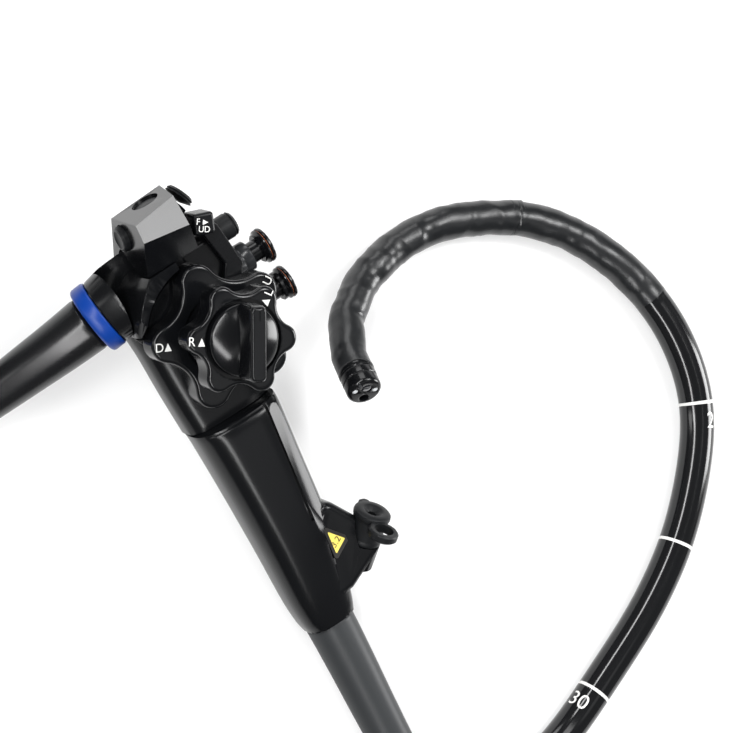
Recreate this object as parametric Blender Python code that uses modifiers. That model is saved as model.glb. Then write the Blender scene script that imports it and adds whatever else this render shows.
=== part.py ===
# Flexible endoscope lying on a table: control section, universal cord with its
# connector, and insertion tube with a jointed bending section at its tip.
# Run with: blender --background --python part.py
#
# World frame: metres, +Z up, the table at Z = 0, the control section's head towards +Y.
# Control section frame: X towards the valves, Y towards the head, Z along the knobs' axis.

import bpy
import bmesh
from math import sin, cos, pi, radians, atan2, sqrt
from mathutils import Vector, Matrix

MM = 0.001
GAP = 0.3 * MM                    # between touching or resting pieces
ROUND_STEPS = 32                  # steps of a large turned piece
SMALL_STEPS = 20                  # steps of a small turned piece

# Where the control section lies: the knobs' axis meets its middle plane here
BODY_PLACE = Vector((-44.4, 59.1, 31.8)) * MM
BODY_PITCH = radians(12.0)        # head raised by the cord boot that props it

# Control housing and grip
HOUSING_FRONT = 5.0 * MM          # height of the flat face under the knobs
HOUSING_BACK = -14.0 * MM
HOUSING_TOP = 27.0 * MM
GRIP_TOP = -30.0 * MM
GRIP_END = -110.3 * MM
DRUM_ROOM_RADIUS = 15.5 * MM      # round room for the wire drums
DRUM_ROOM_WALL = 2.6 * MM         # wall between the drum room and the knobs

# Knobs, from the housing outwards
UD_KNOB_RADIUS = 24.8 * MM
UD_KNOB_THICKNESS = 9.4 * MM
UD_LOBES = 5
RL_KNOB_RADIUS = 19.0 * MM
RL_KNOB_THICKNESS = 9.6 * MM
RL_LOBES = 6
KNOB_SPACE = 6.8 * MM             # clear height between the two knobs
BRAKE_RADIUS = 12.0 * MM
BRAKE_THICKNESS = 6.2 * MM
BRAKE_RECESS = 1.8 * MM
BRAKE_BAR_LENGTH = 24.6 * MM
BRAKE_BAR_WIDTH = 5.6 * MM
BRAKE_BAR_HEIGHT = 8.6 * MM
BRAKE_BAR_ANGLE = radians(62.0)
LEVER_THICKNESS = 2.6 * MM
LEVER_RING_RADIUS = 15.4 * MM
LEVER_TAB = (7.2 * MM, 7.2 * MM)
LEVER_TAB_TOP = 15.0 * MM
LEVER_TAB_REACH = 35.9 * MM
LEVER_TAB_ANGLE = radians(70.0)
RUNNING = 0.35 * MM               # running gap of a turning piece on its seat

# Spindle and shafts, from the middle out
SPINDLE_RADIUS = 2.2 * MM
SHAFT_WALL = 1.4 * MM
SHAFT_CLEARANCE = 0.3 * MM
DRUM_RADIUS = 11.5 * MM
DRUM_THICKNESS = 5.4 * MM

# Switch box
BOX_BOTTOM = 28.9 * MM
BOX_TOP = 47.5 * MM
BOX_LEFT = -11.4 * MM
BOX_RIGHT = 8.8 * MM
BOX_FRONT = 28.0 * MM
BOX_BACK = -13.0 * MM
SWITCH_TRAVEL = 1.0 * MM
SWITCH_CLEARANCE = 0.3 * MM

# Valves on the right-hand side
VALVE_BLOCK_RIGHT = 19.0 * MM
VALVE_RADIUS = 5.0 * MM
VALVE_BORE_RADIUS = 3.9 * MM
VALVE_TRAVEL = 3.2 * MM
SUCTION_PLACE = 12.4 * MM
AIR_WATER_PLACE = -2.2 * MM
FRONT_SWITCH_PLACE = 24.4 * MM
FRONT_SWITCH_DEPTH = -0.9 * MM

# Universal cord outlet on the left-hand side
OUTLET_AXIS = Vector((-0.935, -0.188, -0.302)).normalized()
OUTLET_RING_PLACE = Vector((-29.6, 21.8, 0.0)) * MM
OUTLET_RADIUS = 11.5 * MM
BLUE_RING_RADIUS = 12.0 * MM
BLUE_RING_LENGTH = 5.2 * MM
SPIGOT_RADIUS = 9.8 * MM
CORD_BOOT_ROOT = 9.5 * MM
CORD_BOOT_TIP = 7.0 * MM
UNIVERSAL_RADIUS = 6.25 * MM

# Instrument channel branch
PORT_PLACE = Vector((13.9, -91.7, 5.0)) * MM
PORT_AXIS = Vector((0.55, 0.72, 0.40)).normalized()
PORT_RADIUS = 3.4 * MM
CHANNEL_RADIUS = 1.6 * MM         # 3.2 mm instrument channel
PORT_LENGTH = 8.6 * MM
CAP_RADIUS = 5.7 * MM
CAP_WALL = 1.6 * MM
CAP_TOP = 3.0 * MM
LOOP_HOLE_RADIUS = 3.0 * MM
LOOP_WIDTH = 2.0 * MM
LOOP_THICKNESS = 3.0 * MM

# Insertion tube
TUBE_RADIUS = 6.0 * MM
GRIP_BOOT_ROOT = 8.5 * MM
GRIP_BOOT_TIP = 7.1 * MM

# Coils of the lengths put away, one turned ring each
TUBE_COIL_PLACE = Vector((-167.6, -130.9, 0.0)) * MM
TUBE_COIL_RADIUS = 67.0 * MM
TUBE_COIL_RISE = 20.2 * MM        # from its first turn to its last
CORD_COIL_PLACE = Vector((-190.6, 145.1, 0.0)) * MM
CORD_COIL_OUTER = 73.0 * MM
CORD_COIL_INNER = 48.0 * MM
CORD_COIL_RISE = 12.5 * MM

# Bending section: ring links joined by rivets, in two crossing directions by turns
LINK_PITCH = 8.0 * MM
LINK_RADIUS = 5.0 * MM
LINK_WALL = 0.8 * MM
LINK_SPACE = 3.7 * MM             # between two rings, for 38 degrees of tilt
EAR_RADIUS = 1.35 * MM
EAR_WALL = 0.4 * MM
RIVET_RADIUS = 0.5 * MM
LINK_STEPS = 16
JOINT_COUNT = 12
CHAIN_PLACE = Vector((77.9, 31.0, 6.1)) * MM
CHAIN_HEADING = radians(149.5)
CHAIN_ROLL = radians(60.0)         # the tube lies rolled, and the joints' axes with it
UD_REST_ANGLES = [radians(a) for a in (8.8, 9.8, 13.0, 17.6, 20.6, 15.2)]
RL_REST_ANGLES = [radians(a) for a in (-4.4, -12.2, -10.3, -7.3, -4.1, -9.7)]
COVER_INNER = 5.5 * MM
COVER_WALL = 0.55 * MM
COVER_END = 2.6 * MM              # from the base, and from the cap's shoulder
BINDING_LENGTH = 1.7 * MM
TIP_LENGTH = 16.0 * MM
TIP_RADIUS = 6.1 * MM
TIP_CAP_LENGTH = 8.0 * MM

# Routes on the table, chosen by hand
TUBE_ROUTE = [                    # from the coil's side to the bending section
    (-89.6, -109.7, 23.1), (-76.6, -118.4, 21.3),
    (-59.6, -126.2, 19.2), (-40.6, -131.3, 15.6), (-20.6, -132.1, 9.4), (-0.5, -128.8, 6.1),
    (15.4, -122.8, 6.1), (43.8, -111.2, 6.1), (68.5, -96.9, 6.1), (86.5, -80.7, 6.1),
    (101.5, -61.6, 6.1), (107.4, -41.9, 6.1), (108.6, -27.9, 6.1), (107.45, -18.2, 6.1),
]
PASSIVE_ROUTE = [                 # rubber-covered length up to the bending section
    (107.35, -17.55, 6.2), (106.15, -9.5, 6.2), (102.4, -0.2, 6.2), (95.9, 12.1, 6.2),
    (91.2, 18.8, 6.2), (85.2, 25.6, 6.2), (78.7, 30.5, 6.2),
]
LEAD_ROUTE = [                    # from the grip boot's end to the coil's side
    (-55.6, -107.4, 7.2), (-56.0, -113.9, 7.1), (-57.0, -122.9, 6.3), (-60.6, -137.9, 6.1), (-68.6, -156.9, 6.1),
    (-83.6, -175.9, 6.1), (-103.6, -188.9, 6.1), (-120.6, -194.9, 6.1),
]
GRIP_BOOT_ROUTE = [               # from the grip's lower end
    (-52.4, -49.1, 8.8), (-52.4, -50.5, 8.5), (-52.7, -56.9, 8.43), (-53.4, -68.9, 8.15),
    (-54.2, -80.9, 7.86), (-54.9, -92.9, 7.57), (-55.6, -107.0, 7.22),
]
CORD_BOOT_ROUTE = [               # from the blue ring's outer face
    (-76.71, 80.07, 35.36), (-88.0, 78.6, 31.3), (-100.6, 77.2, 25.9), (-112.6, 75.8, 20.2),
    (-124.6, 74.5, 14.4),
]
CORD_ROUTE = [                    # from the cord boot's end to the coil's side
    (-124.9, 74.47, 14.26), (-128.9, 74.1, 12.33), (-137.3, 73.25, 8.95), (-146.2, 72.6, 6.75),
]

CORD_TAIL_ROUTE = [               # from the coil's top turn to the connector's boot
    (-147.3, 218.2, 18.3), (-138.6, 218.1, 18.1), (-131.2, 218.1, 18.0),
]
CONNECTOR_PLACE = Vector((-92.6, 218.1, 18.0)) * MM
CONNECTOR_RADIUS = 17.9 * MM
CONNECTOR_LENGTH = 70.0 * MM
SOCKET_RADIUS = 11.0 * MM

PARTS = "flexible_endoscope"
CUTTERS = "cutters"


# Scene and materials

def empty_scene():
    for thing in list(bpy.data.objects):
        bpy.data.objects.remove(thing)
    for title in (PARTS, CUTTERS):
        group = bpy.data.collections.get(title) or bpy.data.collections.new(title)
        if group.name not in bpy.context.scene.collection.children:
            bpy.context.scene.collection.children.link(group)


def finish(title, colour, roughness, metallic=0.0):
    mat = bpy.data.materials.new(title)
    mat.use_nodes = True
    shader = mat.node_tree.nodes["Principled BSDF"]
    shader.inputs["Base Color"].default_value = (*colour, 1.0)
    shader.inputs["Roughness"].default_value = roughness
    shader.inputs["Metallic"].default_value = metallic
    return mat


def make_finishes():
    return {
        "gloss": finish("gloss black plastic", (0.012, 0.013, 0.016), 0.22),
        "satin": finish("satin black plastic", (0.020, 0.022, 0.026), 0.42),
        "rubber": finish("matt black rubber", (0.030, 0.032, 0.036), 0.65),
        "grey": finish("grey rubber", (0.090, 0.095, 0.100), 0.55),
        "blue": finish("blue plastic", (0.010, 0.060, 0.350), 0.35),
        "steel": finish("steel", (0.55, 0.56, 0.58), 0.25, 1.0),
        "orange": finish("orange plastic", (0.45, 0.12, 0.02), 0.40),
        "glass": finish("lens glass", (0.02, 0.02, 0.03), 0.05),
    }


# Building blocks

def keep(mesh, title, material, parent=None, group=PARTS):
    part = bpy.data.objects.new(title, mesh)
    bpy.data.collections[group].objects.link(part)
    if material is not None:
        mesh.materials.clear()
        mesh.materials.append(material)
    part.parent = parent
    if group == CUTTERS:
        part.hide_render = True
        part.display_type = "WIRE"
    return part


def bake(part, title, material, parent=None, group=PARTS):
    # Replace an object by its evaluated mesh, with loose caps welded
    graph = bpy.context.evaluated_depsgraph_get()
    mesh = bpy.data.meshes.new_from_object(part.evaluated_get(graph))
    shape = bmesh.new()
    shape.from_mesh(mesh)
    bmesh.ops.remove_doubles(shape, verts=shape.verts, dist=1e-6)
    bmesh.ops.recalc_face_normals(shape, faces=shape.faces)
    shape.to_mesh(mesh)
    shape.free()
    bpy.data.objects.remove(part)
    return keep(mesh, title, material, parent, group)


def turned(title, profile, material, parent=None, steps=SMALL_STEPS, group=PARTS):
    # A profile of (radius, height) from top to bottom, turned about Z.
    # It is closed on itself when it never meets the axis.
    mesh = bpy.data.meshes.new(title)
    verts = [(r, 0.0, z) for r, z in profile]
    edges = [(i, i + 1) for i in range(len(verts) - 1)]
    if min(r for r, z in profile) > 0.0:
        edges.append((len(verts) - 1, 0))
    mesh.from_pydata(verts, edges, [])
    part = keep(mesh, title, material, parent, group)
    screw = part.modifiers.new("turn", "SCREW")
    screw.angle = 2 * pi
    screw.steps = steps
    screw.render_steps = steps
    screw.use_merge_vertices = True
    screw.merge_threshold = 1e-5
    screw.use_smooth_shade = True
    return part


def rod(title, radius, low, high, material, parent=None, steps=SMALL_STEPS, group=PARTS):
    return turned(title, [(0.0, high), (radius, high), (radius, low), (0.0, low)],
                  material, parent, steps, group)


def sleeve(title, outer, inner, low, high, material, parent=None, steps=SMALL_STEPS, group=PARTS):
    return turned(title, [(inner, high), (outer, high), (outer, low), (inner, low)],
                  material, parent, steps, group)


def slab(title, outline, low, high, material, parent=None, group=PARTS):
    # A flat outline in X and Y, from one height to another
    curve = bpy.data.curves.new(title, "CURVE")
    curve.dimensions = "2D"
    curve.fill_mode = "BOTH"
    curve.extrude = (high - low) / 2
    line = curve.splines.new("POLY")
    line.points.add(len(outline) - 1)
    for point, (x, y) in zip(line.points, outline):
        point.co = (x, y, 0.0, 1.0)
    line.use_cyclic_u = True
    shape = bpy.data.objects.new(title, curve)
    bpy.data.collections[CUTTERS].objects.link(shape)
    part = bake(shape, title, material, parent, group)
    part.data.transform(Matrix.Translation((0.0, 0.0, (low + high) / 2)))
    return part


def block(title, low, high, material, parent=None, group=PARTS):
    bpy.ops.mesh.primitive_cube_add(size=1.0)
    cube = bpy.context.object
    mesh = cube.data.copy()
    bpy.data.objects.remove(cube)
    size = Vector(high) - Vector(low)
    mesh.transform(Matrix.Translation((Vector(low) + Vector(high)) / 2) @ Matrix.Diagonal((*size, 1.0)))
    return keep(mesh, title, material, parent, group)


def point_along(part, place, axis, aside=(0.0, 0.0, 0.0)):
    # Put a piece at a place, with its own Z along an axis, after moving it aside
    turn = Vector(axis).to_track_quat("Z", "Y").to_matrix().to_4x4()
    part.matrix_local = Matrix.Translation(place) @ turn @ Matrix.Translation(aside)
    return part


def lay_profile(part):
    # Turn a slab drawn in (Y, Z) so that its thickness runs along X
    turn = Matrix(((0, 0, 1, 0), (1, 0, 0, 0), (0, 1, 0, 0), (0, 0, 0, 1)))
    part.data.transform(turn)
    return part


def lay_plan(part):
    # Turn a slab drawn in (X, Z) so that its thickness runs along Y
    turn = Matrix(((1, 0, 0, 0), (0, 0, -1, 0), (0, 1, 0, 0), (0, 0, 0, 1)))
    part.data.transform(turn)
    return part


def combine(part, other, how):
    step = part.modifiers.new(how.lower(), "BOOLEAN")
    step.operation = how
    step.object = other
    step.solver = "EXACT"
    return part


def round_edges(part, width, segments=2, limit=40.0):
    bevel = part.modifiers.new("round", "BEVEL")
    bevel.width = width
    bevel.segments = segments
    bevel.limit_method = "ANGLE"
    bevel.angle_limit = radians(limit)
    bevel.use_clamp_overlap = True
    return part


def loft(title, rings, material, parent=None, group=PARTS):
    # Skin between rings of points, with a flat face on each end
    shape = bmesh.new()
    rows = [[shape.verts.new(p) for p in ring] for ring in rings]
    count = len(rows[0])
    for a, b in zip(rows[:-1], rows[1:]):
        for i in range(count):
            j = (i + 1) % count
            shape.faces.new((a[i], a[j], b[j], b[i]))
    shape.faces.new(reversed(rows[0]))
    shape.faces.new(rows[-1])
    bmesh.ops.recalc_face_normals(shape, faces=shape.faces)
    mesh = bpy.data.meshes.new(title)
    shape.to_mesh(mesh)
    shape.free()
    for face in mesh.polygons:
        face.use_smooth = True
    return keep(mesh, title, material, parent, group)


def oval_ring(y, middle, half_width, back, front, squareness, count=28):
    # A rounded rectangle across the body at one height along it
    ring = []
    centre = (front + back) / 2
    half_depth = (front - back) / 2
    for i in range(count):
        a = 2 * pi * i / count
        x = middle + half_width * abs(cos(a)) ** (2 / squareness) * (1 if cos(a) >= 0 else -1)
        z = centre + half_depth * abs(sin(a)) ** (2 / squareness) * (1 if sin(a) >= 0 else -1)
        ring.append(Vector((x, y, z)))
    return ring


def smooth_curve(points, per_span=12):
    # Catmull-Rom curve through chosen points, as a dense line
    line = [points[0] * 2 - points[1]] + list(points) + [points[-1] * 2 - points[-2]]
    dense = []
    for i in range(1, len(line) - 2):
        p0, p1, p2, p3 = line[i - 1:i + 3]
        for k in range(per_span):
            t = k / per_span
            dense.append(0.5 * ((2 * p1) + (p2 - p0) * t + (2 * p0 - 5 * p1 + 4 * p2 - p3) * t * t
                                + (3 * p1 - p0 - 3 * p2 + p3) * t ** 3))
    dense.append(points[-1].copy())
    return dense


def even_points(line, spacing):
    # Points at equal steps along a dense line
    lengths = [0.0]
    for a, b in zip(line[:-1], line[1:]):
        lengths.append(lengths[-1] + (b - a).length)
    count = max(2, round(lengths[-1] / spacing))
    result = []
    i = 0
    for k in range(count + 1):
        want = lengths[-1] * k / count
        while i < len(lengths) - 2 and lengths[i + 1] < want:
            i += 1
        span = lengths[i + 1] - lengths[i]
        share = (want - lengths[i]) / span if span else 0.0
        result.append(line[i].lerp(line[i + 1], share))
    return result


def flexible(title, route, radius, material, spacing, tip_radius=None, resolution=3):
    # A round cord or boot along a route, on a POLY spline with capped ends
    points = [Vector(p) * MM for p in route]
    if spacing:
        points = even_points(smooth_curve(points), spacing)
    whole = sum((b - a).length for a, b in zip(points[:-1], points[1:]))
    done = 0.0
    curve = bpy.data.curves.new(title, "CURVE")
    curve.dimensions = "3D"
    curve.bevel_depth = radius
    curve.bevel_resolution = resolution
    curve.use_fill_caps = True
    line = curve.splines.new("POLY")
    line.points.add(len(points) - 1)
    for i, (point, place) in enumerate(zip(line.points, points)):
        if i:
            done += (place - points[i - 1]).length
        share = done / whole
        point.co = (*place, 1.0)
        point.radius = 1.0 if tip_radius is None else 1.0 + (tip_radius / radius - 1.0) * share
    part = bpy.data.objects.new(title, curve)
    curve.materials.append(material)
    bpy.data.collections[PARTS].objects.link(part)
    return part


# Control housing, grip and covers

def make_housing(frame, look):
    body = loft("control_housing", [
        oval_ring(GRIP_TOP + GAP, -5.0 * MM, 15.6 * MM, HOUSING_BACK, HOUSING_FRONT, 3.4),
        oval_ring(-15.0 * MM, -3.0 * MM, 18.6 * MM, HOUSING_BACK, HOUSING_FRONT, 3.4),
        oval_ring(0.0, -3.0 * MM, 19.2 * MM, HOUSING_BACK, HOUSING_FRONT, 3.4),
        oval_ring(11.0 * MM, -3.3 * MM, 19.6 * MM, HOUSING_BACK, HOUSING_FRONT, 3.4),
        oval_ring(21.0 * MM, -3.2 * MM, 17.2 * MM, HOUSING_BACK, HOUSING_FRONT, 3.4),
        oval_ring(HOUSING_TOP, -2.4 * MM, 13.6 * MM, HOUSING_BACK, HOUSING_FRONT, 3.4),
    ], look["satin"], frame)
    valve_block = block("valve_block", (2.0 * MM, AIR_WATER_PLACE - VALVE_RADIUS - 2.0 * MM, -8.0 * MM),
                        (VALVE_BLOCK_RIGHT, HOUSING_TOP - 0.4 * MM, HOUSING_FRONT - 0.02 * MM),
                        None, frame, CUTTERS)
    round_edges(valve_block, 2.0 * MM)
    combine(body, valve_block, "UNION")
    switch_mount = rod("switch_mount", FRONT_SWITCH_RADIUS + 1.4 * MM, BOX_RIGHT + 0.6 * MM,
                       VALVE_BLOCK_RIGHT - 0.03 * MM, None, frame, SMALL_STEPS, CUTTERS)
    point_along(switch_mount, (0.0, FRONT_SWITCH_PLACE, FRONT_SWITCH_DEPTH), (1.0, 0.0, 0.0))
    combine(body, switch_mount, "UNION")
    neck = point_along(outlet_neck("outlet_neck", frame, 0.0), OUTLET_RING_PLACE, OUTLET_AXIS)
    combine(body, neck, "UNION")
    for title, radius, low in (("lever_sweep", LEVER_RING_RADIUS + 0.6 * MM, HOUSING_FRONT + 0.01 * MM),
                               ("knob_sweep", UD_KNOB_RADIUS + 0.8 * MM, ud_low() - 0.5 * MM)):
        sweep = rod(title, radius, low, low + 30 * MM, None, frame, ROUND_STEPS, CUTTERS)
        combine(body, sweep, "DIFFERENCE")
    room = rod("drum_room", DRUM_ROOM_RADIUS, HOUSING_BACK - 2 * MM, HOUSING_FRONT - DRUM_ROOM_WALL,
               None, frame, ROUND_STEPS, CUTTERS)
    combine(body, room, "DIFFERENCE")
    shaft_hole = rod("shaft_hole", outer_shaft_radius() + SHAFT_CLEARANCE, HOUSING_BACK,
                     HOUSING_FRONT + 2 * MM, None, frame, SMALL_STEPS, CUTTERS)
    combine(body, shaft_hole, "DIFFERENCE")
    for place in (SUCTION_PLACE, AIR_WATER_PLACE):
        seat = rod("valve_seat", VALVE_RADIUS + GAP, VALVE_BLOCK_RIGHT - 5.0 * MM,
                   VALVE_BLOCK_RIGHT + 5.0 * MM, None, frame, SMALL_STEPS, CUTTERS)
        point_along(seat, (0.0, place, 0.0), (1.0, 0.0, 0.0))
        combine(body, seat, "DIFFERENCE")
    seat = rod("front_switch_seat", FRONT_SWITCH_RADIUS + SWITCH_CLEARANCE,
               VALVE_BLOCK_RIGHT - 4.0 * MM, VALVE_BLOCK_RIGHT + 4.0 * MM, None, frame,
               SMALL_STEPS, CUTTERS)
    point_along(seat, (0.0, FRONT_SWITCH_PLACE, FRONT_SWITCH_DEPTH), (1.0, 0.0, 0.0))
    combine(body, seat, "DIFFERENCE")
    return body


def outlet_neck(title, frame, spread):
    # The moulded neck that carries the blue ring, along its own Z from the ring's middle
    half = BLUE_RING_LENGTH / 2
    return turned(title, [
        (0.0, half + spread), (SPIGOT_RADIUS + spread, half + spread),
        (SPIGOT_RADIUS + spread, -half - GAP - spread), (OUTLET_RADIUS + spread, -half - GAP - spread),
        (OUTLET_RADIUS + 0.9 * MM + spread, -9.0 * MM),
        (OUTLET_RADIUS + 1.4 * MM + spread, -19.0 * MM - spread), (0.0, -19.0 * MM - spread),
    ], None, frame, ROUND_STEPS, CUTTERS)


def make_back_cover(frame, look):
    # Screwed disc that closes the drum room
    depth = 2.2 * MM
    cover = turned("back_cover", [
        (0.0, HOUSING_BACK + depth), (DRUM_ROOM_RADIUS - GAP, HOUSING_BACK + depth),
        (DRUM_ROOM_RADIUS - GAP, HOUSING_BACK - GAP), (DRUM_ROOM_RADIUS + 2.0 * MM, HOUSING_BACK - GAP),
        (DRUM_ROOM_RADIUS + 1.2 * MM, HOUSING_BACK - 1.5 * MM), (0.0, HOUSING_BACK - 1.8 * MM),
    ], look["satin"], frame, ROUND_STEPS)
    return cover


def make_grip(frame, look):
    # Rounded grip, fuller at the front than the housing, narrowing to the boot
    front = 13.2 * MM
    grip = loft("grip_shell", [
        oval_ring(GRIP_END, -8.0 * MM, 8.8 * MM, -8.8 * MM, 8.8 * MM, 2.1),
        oval_ring(-106.0 * MM, -7.8 * MM, 9.9 * MM, -10.0 * MM, 10.0 * MM, 2.4),
        oval_ring(-97.0 * MM, -7.2 * MM, 11.2 * MM, -11.2 * MM, 11.2 * MM, 2.8),
        oval_ring(-77.0 * MM, -5.8 * MM, 12.9 * MM, -12.4 * MM, 12.6 * MM, 3.0),
        oval_ring(-52.0 * MM, -5.3 * MM, 14.3 * MM, -12.9 * MM, front, 3.0),
        oval_ring(-34.0 * MM, -5.0 * MM, 15.5 * MM, -13.4 * MM, front, 3.1),
        oval_ring(GRIP_TOP, -5.0 * MM, 15.7 * MM, HOUSING_BACK, front - 1.6 * MM, 3.2),
    ], look["satin"], frame)
    facet = block("grip_facet", (0.0, -52.0 * MM, 0.0), (24.0 * MM, 12.0 * MM, 12.0 * MM), None, frame, CUTTERS)
    facet.matrix_local = (Matrix.Translation((3.4 * MM, -27.6 * MM, front - 0.6 * MM))
                          @ Matrix.Rotation(radians(-4.9), 4, "Z") @ Matrix.Rotation(radians(29.0), 4, "Y"))
    combine(grip, facet, "DIFFERENCE")
    branch = slab("branch", [
        (-4.0 * MM, -78.0 * MM), (6.5 * MM, -72.0 * MM), (9.5 * MM, -74.0 * MM),
        (15.8 * MM, -84.0 * MM), (19.6 * MM, -97.0 * MM), (16.0 * MM, -99.5 * MM),
        (3.0 * MM, -106.0 * MM), (-6.0 * MM, -104.0 * MM),
    ], -6.8 * MM, 10.4 * MM, None, frame, CUTTERS)
    round_edges(branch, 2.4 * MM, 2, 25.0)
    combine(grip, branch, "UNION")
    boss = point_along(rod("port_boss", CAP_RADIUS + 0.4 * MM, -9.0 * MM, 0.0, None, frame,
                           SMALL_STEPS, CUTTERS), PORT_PLACE, PORT_AXIS)
    combine(grip, boss, "UNION")
    above = point_along(rod("port_clearance", CAP_RADIUS + 1.2 * MM, 0.0, 20.0 * MM, None, frame,
                            SMALL_STEPS, CUTTERS), PORT_PLACE, PORT_AXIS)
    combine(grip, above, "DIFFERENCE")
    channel = point_along(rod("port_hole", PORT_RADIUS - 0.6 * MM, -6.0 * MM, 2.0 * MM, None, frame,
                              SMALL_STEPS, CUTTERS), PORT_PLACE, PORT_AXIS)
    combine(grip, channel, "DIFFERENCE")
    groove = block("grip_groove", (-0.7 * MM, -22.5 * MM, -1.1 * MM), (0.7 * MM, 22.5 * MM, 3.0 * MM),
                   None, frame, CUTTERS)
    groove.matrix_local = Matrix.Translation((2.4 * MM, -53.0 * MM, front)) @ Matrix.Rotation(
        radians(-4.8), 4, "Z")
    combine(grip, groove, "DIFFERENCE")
    return grip


def make_switch_box(frame, look):
    # Three flat outlines crossed: plan, side and the cut for the outlet neck
    plan = [(BOX_LEFT + 1.6 * MM, BOX_BACK), (BOX_RIGHT - 1.6 * MM, BOX_BACK),
            (BOX_RIGHT, BOX_BACK + 1.6 * MM), (BOX_RIGHT, 0.0), (5.3 * MM, 22.0 * MM),
            (0.8 * MM, BOX_FRONT), (BOX_LEFT - 0.4 * MM, BOX_FRONT), (BOX_LEFT, 21.0 * MM),
            (BOX_LEFT, BOX_BACK + 1.6 * MM)]
    box = lay_plan(slab("switch_box", [(x, z) for x, z in plan], -BOX_TOP, -BOX_BOTTOM,
                        look["gloss"], frame))
    side = [(BOX_BOTTOM - MM, BOX_BACK - MM), (44.0 * MM, BOX_BACK - MM), (BOX_TOP + 0.4 * MM, -8.5 * MM),
            (BOX_TOP - 0.01 * MM, 0.0), (BOX_TOP - 0.01 * MM, 22.0 * MM), (42.2 * MM, BOX_FRONT + 0.2 * MM),
            (40.6 * MM, BOX_FRONT - 0.6 * MM), (31.0 * MM, 20.0 * MM), (BOX_BOTTOM - MM, 18.4 * MM)]
    profile = lay_profile(slab("box_side", side, BOX_LEFT - 6 * MM, BOX_RIGHT + 6 * MM, None, frame, CUTTERS))
    combine(box, profile, "INTERSECT")
    round_edges(box, 0.9 * MM, 2, 20.0)
    neck = point_along(outlet_neck("neck_room", frame, GAP), OUTLET_RING_PLACE, OUTLET_AXIS)
    combine(box, neck, "DIFFERENCE")
    for title, place, axis, radius in REMOTE_SWITCHES:
        pocket = rod(title + "_pocket", radius + SWITCH_CLEARANCE, -3.4 * MM, 6.0 * MM, None, frame,
                     SMALL_STEPS, CUTTERS)
        combine(box, point_along(pocket, place, axis), "DIFFERENCE")
    return box


def make_head_seal(frame, look):
    # Thin dark gasket between the housing and the switch box
    low = HOUSING_TOP + GAP
    seal = lay_plan(slab("head_seal", [
        (-9.0 * MM, -12.0 * MM), (7.8 * MM, -12.0 * MM), (7.8 * MM, 3.6 * MM), (-9.0 * MM, 3.6 * MM),
    ], -(BOX_BOTTOM - GAP), -low, look["rubber"], frame))
    neck = point_along(outlet_neck("seal_neck_room", frame, GAP), OUTLET_RING_PLACE, OUTLET_AXIS)
    combine(seal, neck, "DIFFERENCE")
    return seal


# Remote switches: name, middle of the cap's seat, pressing axis outwards, radius
FRONT_SWITCH_RADIUS = 4.1 * MM
REMOTE_SWITCHES = [
    ("remote_switch_top", Vector((1.6, 47.5, 4.0)) * MM, Vector((0, 1, 0)), 3.6 * MM),
    ("remote_switch_left", Vector((-11.4, 41.2, 8.0)) * MM, Vector((-1, 0, 0)), 4.0 * MM),
    ("remote_switch_right", Vector((8.2, 42.6, 9.0)) * MM, Vector((1, 0.15, 0)).normalized(), 4.0 * MM),
]


def make_remote_switches(frame, look):
    rises = {"remote_switch_top": -0.6 * MM, "remote_switch_left": 2.2 * MM,
             "remote_switch_right": 3.6 * MM}
    for title, place, axis, radius in REMOTE_SWITCHES:
        rise = rises[title]
        button = turned(title, [
            (0.0, rise), (radius - 1.0 * MM, rise - 0.15 * MM), (radius, rise - 1.0 * MM),
            (radius, -1.6 * MM), (0.0, -1.6 * MM),
        ], look["rubber"], frame)
        point_along(button, place, axis)
    front = turned("remote_switch_front", [
        (0.0, 7.2 * MM), (FRONT_SWITCH_RADIUS - 1.2 * MM, 7.0 * MM), (FRONT_SWITCH_RADIUS, 5.8 * MM),
        (FRONT_SWITCH_RADIUS, -2.4 * MM), (0.0, -2.4 * MM),
    ], look["rubber"], frame)
    point_along(front, (VALVE_BLOCK_RIGHT, FRONT_SWITCH_PLACE, FRONT_SWITCH_DEPTH), (1, 0, 0))


# Valves

def make_valve(frame, look, stem, place, cap_radius, cap_height, ribs):
    # A bored cylinder in the block, and the button whose piston slides in it
    top = VALVE_BLOCK_RIGHT + 6.6 * MM
    foot = VALVE_BLOCK_RIGHT - 5.0 * MM + GAP
    cylinder = turned(stem + "_cylinder", [
        (VALVE_BORE_RADIUS, top), (VALVE_RADIUS - 0.5 * MM, top), (VALVE_RADIUS, top - 0.5 * MM),
        (VALVE_RADIUS, foot), (VALVE_BORE_RADIUS, foot),
    ], look["steel"], frame)
    point_along(cylinder, (0.0, place, 0.0), (1, 0, 0))
    piston = VALVE_BORE_RADIUS - 0.3 * MM
    collar = top + VALVE_TRAVEL + 0.3 * MM
    profile = [(0.0, cap_height), (cap_radius - 0.8 * MM, cap_height),
               (cap_radius, cap_height - 0.6 * MM), (cap_radius, cap_height - 1.8 * MM),
               (VALVE_RADIUS - 0.4 * MM, cap_height - 1.9 * MM)]
    height = cap_height - 1.9 * MM
    for rib in range(ribs):
        profile += [(VALVE_RADIUS - 0.9 * MM, height - 0.4 * MM), (VALVE_RADIUS - 0.4 * MM, height - 0.8 * MM)]
        height -= 0.8 * MM
    profile += [(VALVE_RADIUS - 0.4 * MM, collar), (piston, collar), (piston, foot + VALVE_TRAVEL + MM),
                (0.0, foot + VALVE_TRAVEL + MM)]
    valve = turned(stem + "_valve", profile, look["gloss"], frame)
    point_along(valve, (0.0, place, 0.0), (1, 0, 0))


# Knobs, lever, brake, shafts and drums

def inner_shaft_bore():
    return SPINDLE_RADIUS + SHAFT_CLEARANCE


def inner_shaft_radius():
    return inner_shaft_bore() + SHAFT_WALL


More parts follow.
